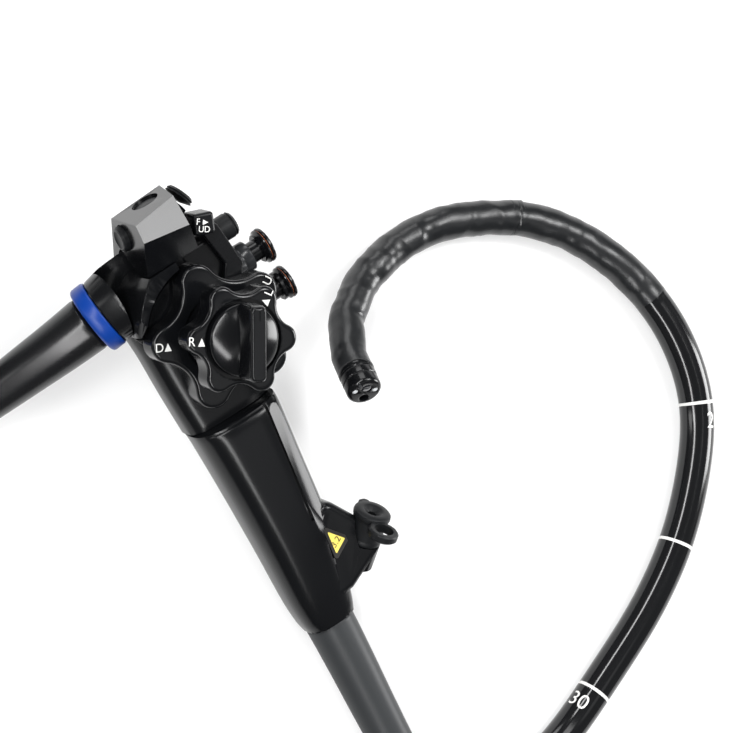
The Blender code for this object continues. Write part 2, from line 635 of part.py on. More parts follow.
def outer_shaft_bore():
    return inner_shaft_radius() + SHAFT_CLEARANCE


def outer_shaft_radius():
    return outer_shaft_bore() + SHAFT_WALL


def lever_low():
    return HOUSING_FRONT + GAP


def ud_low():
    return lever_low() + LEVER_THICKNESS + RUNNING + 0.3 * MM


def ud_high():
    return ud_low() + UD_KNOB_THICKNESS


def rl_low():
    return ud_high() + KNOB_SPACE


def rl_high():
    return rl_low() + RL_KNOB_THICKNESS


def lobed_outline(lobes, radius, lobe_radius, scallop_radius, first, steps):
    # Rounded lobes joined by hollow scallops, arc to arc
    half = pi / lobes
    reach = radius - lobe_radius
    both = lobe_radius + scallop_radius
    hollow = reach * cos(half) + sqrt(both ** 2 - (reach * sin(half)) ** 2)
    points = []
    for k in range(lobes):
        a = first + 2 * pi * k / lobes
        lobe = Vector((reach * cos(a), reach * sin(a)))
        dip = Vector((hollow * cos(a + half), hollow * sin(a + half)))
        turn = atan2((dip - lobe).y, (dip - lobe).x) - a
        turn = (turn + pi) % (2 * pi) - pi
        for i in range(steps + 1):
            b = a - turn + 2 * turn * i / steps
            points.append((lobe.x + lobe_radius * cos(b), lobe.y + lobe_radius * sin(b)))
        for i in range(1, steps):
            b = a + half + pi + (turn - half) * (1 - 2 * i / steps)
            points.append((dip.x + scallop_radius * cos(b), dip.y + scallop_radius * sin(b)))
    return points


def make_knob(title, frame, look, lobes, radius, lobe_radius, scallop_radius, first, low, high,
              bore, hub_low, recess_radius, recess):
    knob = slab(title, lobed_outline(lobes, radius, lobe_radius, scallop_radius, first, 5),
                low, high, look["gloss"], frame)
    round_edges(knob, 1.1 * MM, 2, 45.0)
    if hub_low < low:
        hub = rod(title + "_hub", bore + 3.2 * MM, hub_low, low + 2.0 * MM, None, frame,
                  ROUND_STEPS, CUTTERS)
        combine(knob, hub, "UNION")
    if recess:
        dish = rod(title + "_dish", recess_radius, high - recess, high + 2.0 * MM, None, frame,
                   ROUND_STEPS, CUTTERS)
        combine(knob, dish, "DIFFERENCE")
    hole = rod(title + "_bore", bore, hub_low - 2.0 * MM, high + 2.0 * MM, None, frame,
               SMALL_STEPS, CUTTERS)
    combine(knob, hole, "DIFFERENCE")
    return knob


def make_knobs(frame, look):
    make_knob("ud_knob", frame, look, UD_LOBES, UD_KNOB_RADIUS, 6.0 * MM, 12.0 * MM, radians(16.5),
              ud_low(), ud_high(), outer_shaft_radius() + GAP, ud_low(), 0.0, 0.0)
    make_knob("rl_knob", frame, look, RL_LOBES, RL_KNOB_RADIUS, 4.5 * MM, 7.5 * MM, radians(30.0),
              rl_low(), rl_high(), inner_shaft_radius() + GAP, ud_high() + RUNNING + 0.3 * MM,
              BRAKE_RADIUS + 1.2 * MM, BRAKE_RECESS)


def make_brake_knob(frame, look):
    low = rl_high() - BRAKE_RECESS + GAP
    high = low + BRAKE_THICKNESS
    knob = turned("rl_brake_knob", [
        (0.0, high), (BRAKE_RADIUS - 2.4 * MM, high), (BRAKE_RADIUS - 0.8 * MM, high - 0.7 * MM),
        (BRAKE_RADIUS, high - 2.2 * MM), (BRAKE_RADIUS, low), (0.0, low),
    ], look["gloss"], frame, ROUND_STEPS)
    half_l = BRAKE_BAR_LENGTH / 2
    half_w = BRAKE_BAR_WIDTH / 2
    bar = slab("brake_bar", [
        (-half_l, -half_w), (half_l, -half_w), (half_l, half_w), (-half_l, half_w),
    ], high - 2.0 * MM, high + BRAKE_BAR_HEIGHT, None, frame, CUTTERS)
    bar.data.transform(Matrix.Rotation(BRAKE_BAR_ANGLE, 4, "Z"))
    round_edges(bar, 1.0 * MM)
    combine(knob, bar, "UNION")
    hole = rod("brake_bore", SPINDLE_RADIUS + GAP, low - 2.0 * MM, high - 1.0 * MM, None, frame,
               SMALL_STEPS, CUTTERS)
    combine(knob, hole, "DIFFERENCE")
    return knob


def make_lock_lever(frame, look):
    low = lever_low()
    high = low + LEVER_THICKNESS
    lever = sleeve("ud_lock_lever", LEVER_RING_RADIUS, outer_shaft_radius() + GAP, low, high,
                   look["satin"], frame, ROUND_STEPS)
    arm = slab("lever_arm", [
        (9.5 * MM, 8.5 * MM), (13.5 * MM, 4.0 * MM), (20.4 * MM, 13.6 * MM), (18.4 * MM, 29.0 * MM),
        (14.6 * MM, 36.0 * MM), (11.4 * MM, 35.0 * MM), (14.6 * MM, 16.5 * MM),
    ], low + 0.02 * MM, high - 0.02 * MM, None, frame, CUTTERS)
    combine(lever, arm, "UNION")
    half_w, half_l = LEVER_TAB[0] / 2, LEVER_TAB[1] / 2
    tab = slab("lever_tab", [(-half_l, -half_w), (half_l, -half_w), (half_l, half_w), (-half_l, half_w)],
               low + 0.01 * MM, LEVER_TAB_TOP, None, frame, CUTTERS)
    place = Matrix.Rotation(LEVER_TAB_ANGLE, 4, "Z") @ Matrix.Translation((LEVER_TAB_REACH, 0.0, 0.0))
    tab.data.transform(place)
    round_edges(tab, 0.8 * MM)
    combine(lever, tab, "UNION")
    return lever


def make_shafts_and_drums(frame, look):
    room_top = HOUSING_FRONT - DRUM_ROOM_WALL
    ud_drum_high = room_top - 0.6 * MM
    ud_drum_low = ud_drum_high - DRUM_THICKNESS
    rl_drum_high = ud_drum_low - 0.5 * MM
    rl_drum_low = rl_drum_high - DRUM_THICKNESS
    plate_top = HOUSING_BACK + 2.2 * MM + GAP + 1.2 * MM
    sleeve("ud_shaft", outer_shaft_radius(), outer_shaft_bore(), ud_drum_low, ud_high() - 0.4 * MM,
           look["steel"], frame)
    sleeve("rl_shaft", inner_shaft_radius(), inner_shaft_bore(), rl_drum_low,
           rl_high() - BRAKE_RECESS - 0.4 * MM, look["steel"], frame)
    for title, bore, low, high in (("ud_drum", outer_shaft_radius(), ud_drum_low, ud_drum_high),
                                   ("rl_drum", inner_shaft_radius(), rl_drum_low, rl_drum_high)):
        groove = DRUM_RADIUS - 1.6 * MM
        turned(title, [
            (bore + GAP, high), (DRUM_RADIUS, high), (DRUM_RADIUS, high - 0.9 * MM),
            (groove, high - 1.6 * MM), (groove, low + 1.6 * MM), (DRUM_RADIUS, low + 0.9 * MM),
            (DRUM_RADIUS, low), (bore + GAP, low),
        ], look["steel"], frame, 24)
    spindle_top = rl_high() - BRAKE_RECESS + GAP + BRAKE_THICKNESS - 1.4 * MM
    turned("spindle", [
        (0.0, spindle_top), (SPINDLE_RADIUS, spindle_top), (SPINDLE_RADIUS, rl_drum_low - 0.4 * MM),
        (DRUM_RADIUS - 4.0 * MM, rl_drum_low - 0.4 * MM), (DRUM_RADIUS - 4.0 * MM, plate_top + GAP),
        (0.0, plate_top + GAP),
    ], look["steel"], frame)
    rod("chassis_plate", DRUM_ROOM_RADIUS - 0.4 * MM, HOUSING_BACK + 2.2 * MM + GAP, plate_top,
        look["steel"], frame, ROUND_STEPS)


# Instrument channel port

def make_port(frame, look):
    port = turned("channel_port", [
        (CHANNEL_RADIUS, PORT_LENGTH), (PORT_RADIUS - 0.5 * MM, PORT_LENGTH),
        (PORT_RADIUS, PORT_LENGTH - 0.6 * MM), (PORT_RADIUS, PORT_LENGTH - 2.0 * MM),
        (PORT_RADIUS - 0.9 * MM, PORT_LENGTH - 2.6 * MM), (PORT_RADIUS - 0.9 * MM, -5.6 * MM),
        (CHANNEL_RADIUS, -5.6 * MM),
    ], look["steel"], frame)
    point_along(port, PORT_PLACE, PORT_AXIS)
    top = PORT_LENGTH + GAP + CAP_TOP
    room = PORT_RADIUS + GAP
    cap = turned("port_cap", [
        (CHANNEL_RADIUS * 0.9, top), (CAP_RADIUS - 1.0 * MM, top), (CAP_RADIUS, top - 1.0 * MM),
        (CAP_RADIUS, GAP), (room, GAP), (room, PORT_LENGTH + GAP),
        (CHANNEL_RADIUS * 0.9, PORT_LENGTH + GAP),
    ], look["rubber"], frame)
    point_along(cap, PORT_PLACE, PORT_AXIS)
    loop_middle = CAP_RADIUS + LOOP_HOLE_RADIUS + 0.6 * MM
    turn = radians(94.0)
    loop = rod("cap_loop", LOOP_HOLE_RADIUS + LOOP_WIDTH, top - 1.2 * MM - LOOP_THICKNESS, top - 1.2 * MM,
               None, frame, SMALL_STEPS, CUTTERS)
    seat = (loop_middle * cos(turn), loop_middle * sin(turn), 0.0)
    point_along(loop, PORT_PLACE, PORT_AXIS, seat)
    combine(cap, loop, "UNION")
    ear = rod("cap_ear", 1.9 * MM, top - 3.2 * MM, top - 1.0 * MM, None, frame, SMALL_STEPS, CUTTERS)
    point_along(ear, PORT_PLACE, PORT_AXIS, (-CAP_RADIUS * cos(turn), -CAP_RADIUS * sin(turn), 0.0))
    combine(cap, ear, "UNION")
    hole = rod("loop_hole", LOOP_HOLE_RADIUS, top - 8.0 * MM, top + 2.0 * MM, None, frame,
               SMALL_STEPS, CUTTERS)
    point_along(hole, PORT_PLACE, PORT_AXIS, seat)
    combine(cap, hole, "DIFFERENCE")


# Universal cord: blue ring, boot, cord, coil and connector

def make_universal_cord(frame, look):
    half = BLUE_RING_LENGTH / 2
    ring = turned("blue_ring", [
        (SPIGOT_RADIUS + GAP, half), (BLUE_RING_RADIUS - 0.5 * MM, half),
        (BLUE_RING_RADIUS, half - 0.5 * MM), (BLUE_RING_RADIUS, -half + 0.4 * MM),
        (BLUE_RING_RADIUS - 0.4 * MM, -half), (SPIGOT_RADIUS + GAP, -half),
    ], look["blue"], frame, ROUND_STEPS)
    point_along(ring, OUTLET_RING_PLACE, OUTLET_AXIS)
    flexible("cord_boot", CORD_BOOT_ROUTE, CORD_BOOT_ROOT, look["rubber"], 6.0 * MM,
             CORD_BOOT_TIP, 6)
    flexible("universal_cord", CORD_ROUTE, UNIVERSAL_RADIUS, look["satin"], 6.0 * MM)
    coil_ring("universal_cord_coil", CORD_COIL_PLACE, CORD_COIL_OUTER, CORD_COIL_INNER,
              UNIVERSAL_RADIUS, CORD_COIL_RISE, look["satin"])


def make_connector(look):
    # Light source plug at the far end of the universal cord, lying along X
    flexible("universal_cord_tail", CORD_TAIL_ROUTE, UNIVERSAL_RADIUS, look["satin"], 6.0 * MM)
    boot_end = CONNECTOR_PLACE.x - GAP
    flexible("connector_boot", [
        (boot_end / MM - 38.0, CONNECTOR_PLACE.y / MM, CONNECTOR_PLACE.z / MM),
        (boot_end / MM, CONNECTOR_PLACE.y / MM, CONNECTOR_PLACE.z / MM),
    ], 7.2 * MM, look["rubber"], 9.5 * MM, 10.5 * MM, 4)
    level = Matrix.Translation(CONNECTOR_PLACE) @ Matrix.Rotation(pi / 2, 4, "Y")
    end = CONNECTOR_LENGTH
    housing = turned("connector_housing", [
        (0.0, end), (CONNECTOR_RADIUS - 3.0 * MM, end), (CONNECTOR_RADIUS - 1.0 * MM, end - 2.0 * MM),
        (CONNECTOR_RADIUS - 1.0 * MM, end - 14.0 * MM), (CONNECTOR_RADIUS, end - 16.0 * MM),
        (CONNECTOR_RADIUS, 24.0 * MM), (11.8 * MM, 1.0 * MM), (11.0 * MM, 0.0), (0.0, 0.0),
    ], look["satin"], None, ROUND_STEPS)
    housing.matrix_world = level
    seat = rod("socket_mount", SOCKET_RADIUS + 1.2 * MM, 4.0 * MM, CONNECTOR_RADIUS + 2.0 * MM, None, None,
               ROUND_STEPS, CUTTERS)
    across = Matrix.Translation(CONNECTOR_PLACE + Vector((42.0 * MM, 0.0, 0.0))) @ Matrix.Rotation(pi / 2, 4, "X")
    seat.matrix_world = across
    combine(housing, seat, "UNION")
    low = CONNECTOR_RADIUS + 2.0 * MM + GAP
    socket = turned("electrical_socket", [
        (SOCKET_RADIUS - 2.0 * MM, low + 9.0 * MM), (SOCKET_RADIUS - 0.5 * MM, low + 9.0 * MM),
        (SOCKET_RADIUS, low + 8.0 * MM), (SOCKET_RADIUS, low), (SOCKET_RADIUS - 2.0 * MM, low),
    ], look["steel"], None, ROUND_STEPS)
    socket.matrix_world = across
    pin = turned("light_guide_pin", [
        (0.0, 32.0 * MM), (3.6 * MM, 32.0 * MM), (4.2 * MM, 31.0 * MM), (4.2 * MM, 14.0 * MM),
        (5.2 * MM, 13.0 * MM), (5.2 * MM, GAP), (0.0, GAP),
    ], look["steel"], None, SMALL_STEPS)
    pin.matrix_world = level @ Matrix.Translation((0.0, 0.0, end))
    pipe = sleeve("air_pipe", 1.8 * MM, 1.1 * MM, GAP, 18.0 * MM, look["steel"], None, 14)
    pipe.matrix_world = level @ Matrix.Translation((0.0, 10.0 * MM, end))


def coil_ring(title, place, outer_line, inner_line, radius, rise, material):
    # The outer shape of a coil whose turns' middles lie between two radii
    high = 2 * radius + rise
    soft = radius * 0.7
    ring = turned(title, [
        (inner_line - radius + soft, high), (outer_line + radius - soft, high),
        (outer_line + radius, high - soft), (outer_line + radius, soft),
        (outer_line + radius - soft, 0.0), (inner_line - radius + soft, 0.0),
        (inner_line - radius, soft), (inner_line - radius, high - soft),
    ], material, None, 48)
    ring.location = place
    return ring


# Insertion tube

def make_insertion_tube(look):
    flexible("grip_boot", GRIP_BOOT_ROUTE, GRIP_BOOT_ROOT, look["grey"], None, GRIP_BOOT_TIP, 6)
    flexible("insertion_tube_lead", LEAD_ROUTE, TUBE_RADIUS, look["gloss"], 2 * TUBE_RADIUS)
    coil_ring("insertion_tube_coil", TUBE_COIL_PLACE, TUBE_COIL_RADIUS, TUBE_COIL_RADIUS,
              TUBE_RADIUS, TUBE_COIL_RISE, look["gloss"])
    flexible("insertion_tube", TUBE_ROUTE, TUBE_RADIUS, look["gloss"], 2 * TUBE_RADIUS)
    flexible("passive_section", PASSIVE_ROUTE, TIP_RADIUS, look["rubber"], 1.2 * TUBE_RADIUS)


# Bending section

def chain_frames():
    # Place and axes at the base and at each joint: along the chain, and the up side of its rings
    place = CHAIN_PLACE.copy()
    along = Vector((cos(CHAIN_HEADING), sin(CHAIN_HEADING), 0.0))
    level = Vector((0.0, 0.0, 1.0)).cross(along)
    up = Vector((0.0, 0.0, 1.0)) * cos(CHAIN_ROLL) - level * sin(CHAIN_ROLL)
    frames = [(place.copy(), along.copy(), up.copy())]
    place = place + along * LINK_PITCH
    for i in range(JOINT_COUNT):
        side = up.cross(along)
        if i % 2 == 0:
            a = RL_REST_ANGLES[i // 2]
            along, up = along * cos(a) + up * sin(a), up * cos(a) - along * sin(a)
        else:
            a = UD_REST_ANGLES[i // 2]
            along = along * cos(a) + side * sin(a)
        frames.append((place.copy(), along.copy(), up.copy()))
        place = place + along * LINK_PITCH
    return frames


def chain_matrix(frame_of_link):
    # Own X along the chain, own Z toward the rings' up side
    place, along, up = frame_of_link
    side = up.cross(along)
    turn = Matrix((along, side, up)).transposed().to_4x4()
    return Matrix.Translation(place) @ turn


def ear_pair(title, outer_radius, start, pivot, upright, hole):
    # Two rounded ears on opposite sides of a ring, along the chain from start to pivot
    inner_radius = outer_radius - EAR_WALL
    shell = turned(title + "_shell", [
        (inner_radius, 20 * MM), (outer_radius, 20 * MM), (outer_radius, -20 * MM),
        (inner_radius, -20 * MM)], None, None, LINK_STEPS, CUTTERS)
    shell.rotation_euler = (0.0, pi / 2, 0.0)
    outline = [(start, -EAR_RADIUS), (pivot, -EAR_RADIUS)]
    sign = 1 if pivot > start else -1
    for i in range(1, 4):
        a = -pi / 2 + pi * i / 4
        outline.append((pivot + sign * EAR_RADIUS * cos(a), EAR_RADIUS * sin(a)))
    outline += [(pivot, EAR_RADIUS), (start, EAR_RADIUS)]
    tab = slab(title, outline, -outer_radius - MM, outer_radius + MM, None, None, CUTTERS)
    if hole:
        pin = rod(title + "_hole", RIVET_RADIUS + 0.3 * MM, -8 * MM, 8 * MM, None, None, 8, CUTTERS)
        pin.location = (pivot, 0.0, 0.0)
        combine(tab, pin, "DIFFERENCE")
    combine(tab, shell, "INTERSECT")
    ears = bake(tab, title, None, None, CUTTERS)
    if not upright:
        ears.rotation_euler = (pi / 2, 0.0, 0.0)
    return ears


def rivet_pair(title, pivot, upright):
    # Two short pins that pass through the next link's ears
    inner = LINK_RADIUS - LINK_WALL - 0.6 * MM
    outer = LINK_RADIUS + 0.12 * MM
    pins = []
    for side in (-1, 1):
        pin = rod(title, RIVET_RADIUS, inner, outer, None, None, 6, CUTTERS)
        if upright:
            pin.rotation_euler = (0.0 if side > 0 else pi, 0.0, 0.0)
        else:
            pin.rotation_euler = (-side * pi / 2, 0.0, 0.0)
        pin.location = (pivot, 0.0, 0.0)
        pins.append(pin)
    return pins


def make_link_mesh(title, low, high, back_upright, ahead_upright, look):
    # A ring with inner ears at its joint behind and riveted outer ears at the one ahead
    inner = LINK_RADIUS - LINK_WALL
    ring = turned(title, [(inner, high), (LINK_RADIUS, high), (LINK_RADIUS, low), (inner, low)],
                  look["steel"], None, LINK_STEPS)
    ring.rotation_euler = (0.0, pi / 2, 0.0)
    if back_upright is not None:
        ears = ear_pair(title + "_ears_behind", inner + 0.1 * MM, low + 1.0 * MM, 0.0, back_upright, True)
        combine(ring, ears, "UNION")
    if ahead_upright is not None:
        ears = ear_pair(title + "_ears_ahead", LINK_RADIUS + 0.04 * MM, high - 1.0 * MM, LINK_PITCH,
                        ahead_upright, False)
        combine(ring, ears, "UNION")
        for pin in rivet_pair(title + "_rivet", LINK_PITCH, ahead_upright):
            combine(ring, pin, "UNION")
    return ring


def make_bending_section(look):
    frames = chain_frames()
    half = LINK_SPACE / 2
    base = make_link_mesh("bending_base", 0.4 * MM, LINK_PITCH - half, None, False, look)
    base = bake(base, "bending_base", look["steel"])
    base.data.transform(Matrix.Rotation(pi / 2, 4, "Y"))
    base.matrix_world = chain_matrix(frames[0])
    link = None
    for i in range(1, JOINT_COUNT):
        title = "bending_link_%02d" % i
        if link is None:
            # Joint 1 bends right and left, so its rivets lie across the rings' up side
            link = bake(make_link_mesh(title, half, LINK_PITCH - half, False, True, look),
                        title, look["steel"])
            link.data.transform(Matrix.Rotation(pi / 2, 4, "Y"))
            part = link
        else:
            part = keep(link.data, title, None)
        quarter = 0.0 if i % 2 == 1 else pi / 2
        part.matrix_world = chain_matrix(frames[i]) @ Matrix.Rotation(quarter, 4, "X")
    make_tip(frames[JOINT_COUNT], look)
    make_cover(frames, look)
    make_bindings(frames, look)


def make_tip(frame_of_tip, look):
    # Distal end: neck with inner ears, cap, lens, light guides, nozzle and channel
    half = LINK_SPACE / 2
    neck_end = TIP_LENGTH - TIP_CAP_LENGTH
    face_turn = Matrix.Rotation(-CHAIN_ROLL, 4, "X")
    tip = turned("tip_body", [
        (0.0, TIP_LENGTH), (TIP_RADIUS - 1.1 * MM, TIP_LENGTH), (TIP_RADIUS - 0.3 * MM, TIP_LENGTH - 0.4 * MM),
        (TIP_RADIUS, TIP_LENGTH - 1.2 * MM), (TIP_RADIUS, neck_end), (LINK_RADIUS, neck_end),
        (LINK_RADIUS, half), (LINK_RADIUS - LINK_WALL, half), (LINK_RADIUS - LINK_WALL, neck_end - MM),
        (0.0, neck_end - MM),
    ], look["gloss"], None, 24)
    tip.rotation_euler = (0.0, pi / 2, 0.0)
    ears = ear_pair("tip_ears", LINK_RADIUS - LINK_WALL + 0.1 * MM, half + 1.0 * MM, 0.0, True, True)
    combine(tip, ears, "UNION")
    for title, y, z, radius, depth in TIP_HOLES:
        hole = rod(title + "_hole", radius + 0.02 * MM, TIP_LENGTH - depth, TIP_LENGTH + MM, None, None, 16, CUTTERS)
        hole.rotation_euler = (0.0, pi / 2, 0.0)
        hole.location = face_turn @ Vector((0.0, y, z))
        combine(tip, hole, "DIFFERENCE")
    tip = bake(tip, "tip_body", look["gloss"])
    tip.data.transform(Matrix.Rotation(pi / 2, 4, "Y"))
    tip.matrix_world = chain_matrix(frame_of_tip)
    place = chain_matrix(frame_of_tip)
    for title, y, z, radius, depth in TIP_HOLES:
        if title == "instrument_channel":
            continue
        if title == "tip_nozzle":
            high, rim, material = 1.0 * MM, 0.5 * MM, look["steel"]
        else:
            high, rim, material = -0.15 * MM, -0.35 * MM, look["glass"]
        glass = turned(title, [
            (0.0, high), (radius - GAP, rim), (radius - GAP, -depth + GAP), (0.0, -depth + GAP),
        ], material, None, 16)
        glass.matrix_world = (place @ face_turn @ Matrix.Translation((TIP_LENGTH, y, z))
                              @ Matrix.Rotation(pi / 2, 4, "Y"))


# Openings in the distal end's face: name, place across the face, radius, depth
TIP_HOLES = [
    ("tip_lens", -0.6 * MM, 1.7 * MM, 1.9 * MM, 2.4 * MM),
    ("light_guide_left", 2.9 * MM, 2.0 * MM, 1.1 * MM, 2.4 * MM),
    ("light_guide_right", -3.6 * MM, -0.9 * MM, 1.1 * MM, 2.4 * MM),
    ("tip_nozzle", -3.9 * MM, 2.1 * MM, 0.95 * MM, 2.4 * MM),
    ("instrument_channel", 1.2 * MM, -2.4 * MM, CHANNEL_RADIUS, 5.0 * MM),
]


def make_cover(frames, look):
    # Soft rubber sleeve over the links, open at both ends
    line = [frames[0][0] + frames[0][1] * COVER_END] + [f[0] for f in frames[1:]]
    last_place, last_along, _ = frames[-1]
    line.append(last_place + last_along * (TIP_LENGTH - TIP_CAP_LENGTH - COVER_END))
    points = even_points(smooth_curve(line), 4.4 * MM)
    rings = []
    up = Vector((0.0, 0.0, 1.0))
    count = 14
    for i, place in enumerate(points):
        before = points[max(i - 1, 0)]
        after = points[min(i + 1, len(points) - 1)]
        along = (after - before).normalized()
        if i == 0:
            along = frames[0][1]
        if i == len(points) - 1:
            along = last_along
        side = up.cross(along).normalized()
        up = along.cross(side)
        rings.append((place, side, up.copy()))
    shape = bmesh.new()
    rows = []
    for place, side, up in rings:
        row = []
        for k in range(count):
            a = 2 * pi * k / count
            row.append(shape.verts.new(place + (side * cos(a) + up * sin(a)) * (COVER_INNER + COVER_WALL)))
        rows.append(row)
    for a, b in zip(rows[:-1], rows[1:]):
        for k in range(count):
            n = (k + 1) % count
            shape.faces.new((a[k], a[n], b[n], b[k]))
    bmesh.ops.recalc_face_normals(shape, faces=shape.faces)
    mesh = bpy.data.meshes.new("bending_cover")
    shape.to_mesh(mesh)
    shape.free()
    cover = keep(mesh, "bending_cover", look["rubber"])
    wall = cover.modifiers.new("wall", "SOLIDIFY")
    wall.thickness = COVER_WALL
    wall.offset = -1.0
    wall.use_even_offset = True
    return cover


def make_bindings(frames, look):
    # Lacquered thread bindings that hold the cover at its two ends
    outer = COVER_INNER + COVER_WALL + 0.1 * MM
    last = TIP_LENGTH - TIP_CAP_LENGTH - GAP
    for title, frame_of_link, low in (("base_binding", frames[0], COVER_END - GAP - BINDING_LENGTH),
                                      ("tip_binding", frames[JOINT_COUNT], last - BINDING_LENGTH)):
        ring = sleeve(title, outer, LINK_RADIUS + GAP, low, low + BINDING_LENGTH, look["gloss"], None, 24)
        ring.matrix_world = chain_matrix(frame_of_link) @ Matrix.Rotation(pi / 2, 4, "Y")


def build():
    empty_scene()
    look = make_finishes()
    frame = bpy.data.objects.new("control_section", None)
    bpy.data.collections[CUTTERS].objects.link(frame)
    frame.location = BODY_PLACE
    frame.rotation_euler = (BODY_PITCH, 0.0, 0.0)
    make_housing(frame, look)
    make_back_cover(frame, look)
    make_grip(frame, look)
    make_switch_box(frame, look)
    make_head_seal(frame, look)
    make_remote_switches(frame, look)
    make_valve(frame, look, "suction", SUCTION_PLACE, 5.9 * MM, VALVE_BLOCK_RIGHT + 13.9 * MM, 1)
    make_valve(frame, look, "air_water", AIR_WATER_PLACE, 5.3 * MM, VALVE_BLOCK_RIGHT + 14.8 * MM, 3)
    make_knobs(frame, look)
    make_brake_knob(frame, look)
    make_lock_lever(frame, look)
    make_shafts_and_drums(frame, look)
    make_port(frame, look)
    make_universal_cord(frame, look)
    make_connector(look)
    make_insertion_tube(look)
    make_bending_section(look)


build()
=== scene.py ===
import bpy
import bmesh
from math import sin, cos, tan, pi, radians, degrees, atan2, sqrt, hypot
from mathutils import Vector, Matrix, noise


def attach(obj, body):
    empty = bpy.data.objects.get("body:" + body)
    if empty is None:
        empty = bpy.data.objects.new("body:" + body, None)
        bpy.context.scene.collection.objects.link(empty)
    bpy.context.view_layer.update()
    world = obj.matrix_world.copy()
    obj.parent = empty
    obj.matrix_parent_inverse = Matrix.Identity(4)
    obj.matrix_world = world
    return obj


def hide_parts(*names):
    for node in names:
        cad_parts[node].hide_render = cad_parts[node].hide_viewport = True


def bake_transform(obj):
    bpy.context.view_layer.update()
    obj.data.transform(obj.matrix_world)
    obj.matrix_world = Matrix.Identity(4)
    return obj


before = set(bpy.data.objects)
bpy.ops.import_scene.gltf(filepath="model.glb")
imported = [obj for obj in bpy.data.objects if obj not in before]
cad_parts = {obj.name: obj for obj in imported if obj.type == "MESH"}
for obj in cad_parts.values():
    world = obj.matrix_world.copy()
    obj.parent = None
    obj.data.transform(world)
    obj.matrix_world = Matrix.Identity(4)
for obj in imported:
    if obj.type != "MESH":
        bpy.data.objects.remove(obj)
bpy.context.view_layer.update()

# Looks of a flexible endoscope on a table. Sizes in millimetres, turned into metres by mm.
mm = 0.001

# Where the control section lies: its own X points to the valves, Y to the head, Z along the knobs
body = {"place": Vector((-44.4, 59.1, 31.8)), "pitch": radians(12.0)}
bodyMatrix = Matrix.Translation(body["place"] * mm) @ Matrix.Rotation(body["pitch"], 4, "X")


# Small helpers

def link(obj):
    bpy.context.scene.collection.objects.link(obj)
    return obj


def moved(x, y, z):
    # Shift in millimetres
    return Matrix.Translation(Vector((x, y, z)) * mm)


def rideOn(piece, who, slot, *nodes):
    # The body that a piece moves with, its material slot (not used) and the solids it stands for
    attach(piece, who)
    if nodes:
        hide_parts(*nodes)
    return piece


def meshPiece(name, verts, faces, mat=None, smooth=True, matrix=None):
    mesh = bpy.data.meshes.new(name)
    mesh.from_pydata([tuple(v) for v in verts], [], faces)
    shape = bmesh.new()
    shape.from_mesh(mesh)
    bmesh.ops.recalc_face_normals(shape, faces=shape.faces)
    shape.to_mesh(mesh)
    shape.free()
    for poly in mesh.polygons:
        poly.use_smooth = smooth
    if mat:
        mesh.materials.append(mat)
    if matrix is not None:
        mesh.transform(matrix)
    return link(bpy.data.objects.new(name, mesh))


def apply(obj):
    # Bake the modifiers, so that a piece is a plain mesh
    graph = bpy.context.evaluated_depsgraph_get()
    mesh = bpy.data.meshes.new_from_object(obj.evaluated_get(graph))
    obj.modifiers.clear()
    old = obj.data
    obj.data = mesh
    bpy.data.meshes.remove(old)
    return obj


def cut(obj, tool, how="DIFFERENCE"):
    step = obj.modifiers.new(how, "BOOLEAN")
    step.operation = how
    step.object = tool
    step.solver = "EXACT"
    apply(obj)
    bpy.data.objects.remove(tool)
    return obj


def soften(obj, width, segments=3, limit=32.0):
    # Round the edges sharper than the limit, in millimetres
    bevel = obj.modifiers.new("soften", "BEVEL")
    bevel.width = width * mm
    bevel.segments = segments
    bevel.limit_method = "ANGLE"
    bevel.angle_limit = radians(limit)
    bevel.use_clamp_overlap = True
    bevel.harden_normals = True
    for poly in obj.data.polygons:
        poly.use_smooth = True
    return apply(obj)


def crisp(obj, limit=35.0):
    # Smooth shading with sharp edges kept
    obj.data.set_sharp_from_angle(angle=radians(limit))
    for poly in obj.data.polygons:
        poly.use_smooth = True
    return obj


def flatten(obj, limit=42.0):
    # Flat faces stay flat beside their rounded edges
    crisp(obj, limit)
    step = obj.modifiers.new("flatten", "WEIGHTED_NORMAL")
    step.keep_sharp = True
    step.weight = 50
    return apply(obj)


def alongAxis(place, axis):
    # Matrix in metres that puts local Z along an axis, in the control section's frame
    turn = Vector(axis).normalized().to_track_quat("Z", "Y").to_matrix().to_4x4()
    return bodyMatrix @ moved(*place) @ turn


def turned(name, profile, mat, matrix, steps=64):
    # Profile of (radius, height) from top to bottom, turned about Z
    verts, faces, rings = [], [], []
    for r, z in profile:
        if r <= 1e-6:
            rings.append([len(verts)])
            verts.append((0.0, 0.0, z * mm))
        else:
            rings.append(list(range(len(verts), len(verts) + steps)))
            for i in range(steps):
                a = 2 * pi * i / steps
                verts.append((r * cos(a) * mm, r * sin(a) * mm, z * mm))
    pairs = list(zip(rings[:-1], rings[1:]))
    if min(p[0] for p in profile) > 0.0:
        pairs.append((rings[-1], rings[0]))
    for a, b in pairs:
        for i in range(steps):
            j = (i + 1) % steps
            if len(a) == 1 and len(b) == 1:
                continue
            if len(a) == 1:
                faces.append((a[0], b[i], b[j]))
            elif len(b) == 1:
                faces.append((a[i], b[0], a[j]))
            else:
                faces.append((a[i], b[i], b[j], a[j]))
    return crisp(meshPiece(name, verts, faces, mat, True, matrix))


def bandFaces(rings, sides):
    # Faces between rings of points, one ring after the other
    return [(k * sides + i, k * sides + (i + 1) % sides, (k + 1) * sides + (i + 1) % sides, (k + 1) * sides + i)
            for k in range(rings - 1) for i in range(sides)]


def endFaces(rings, sides):
    return [tuple(reversed(range(sides))), tuple(range((rings - 1) * sides, rings * sides))]


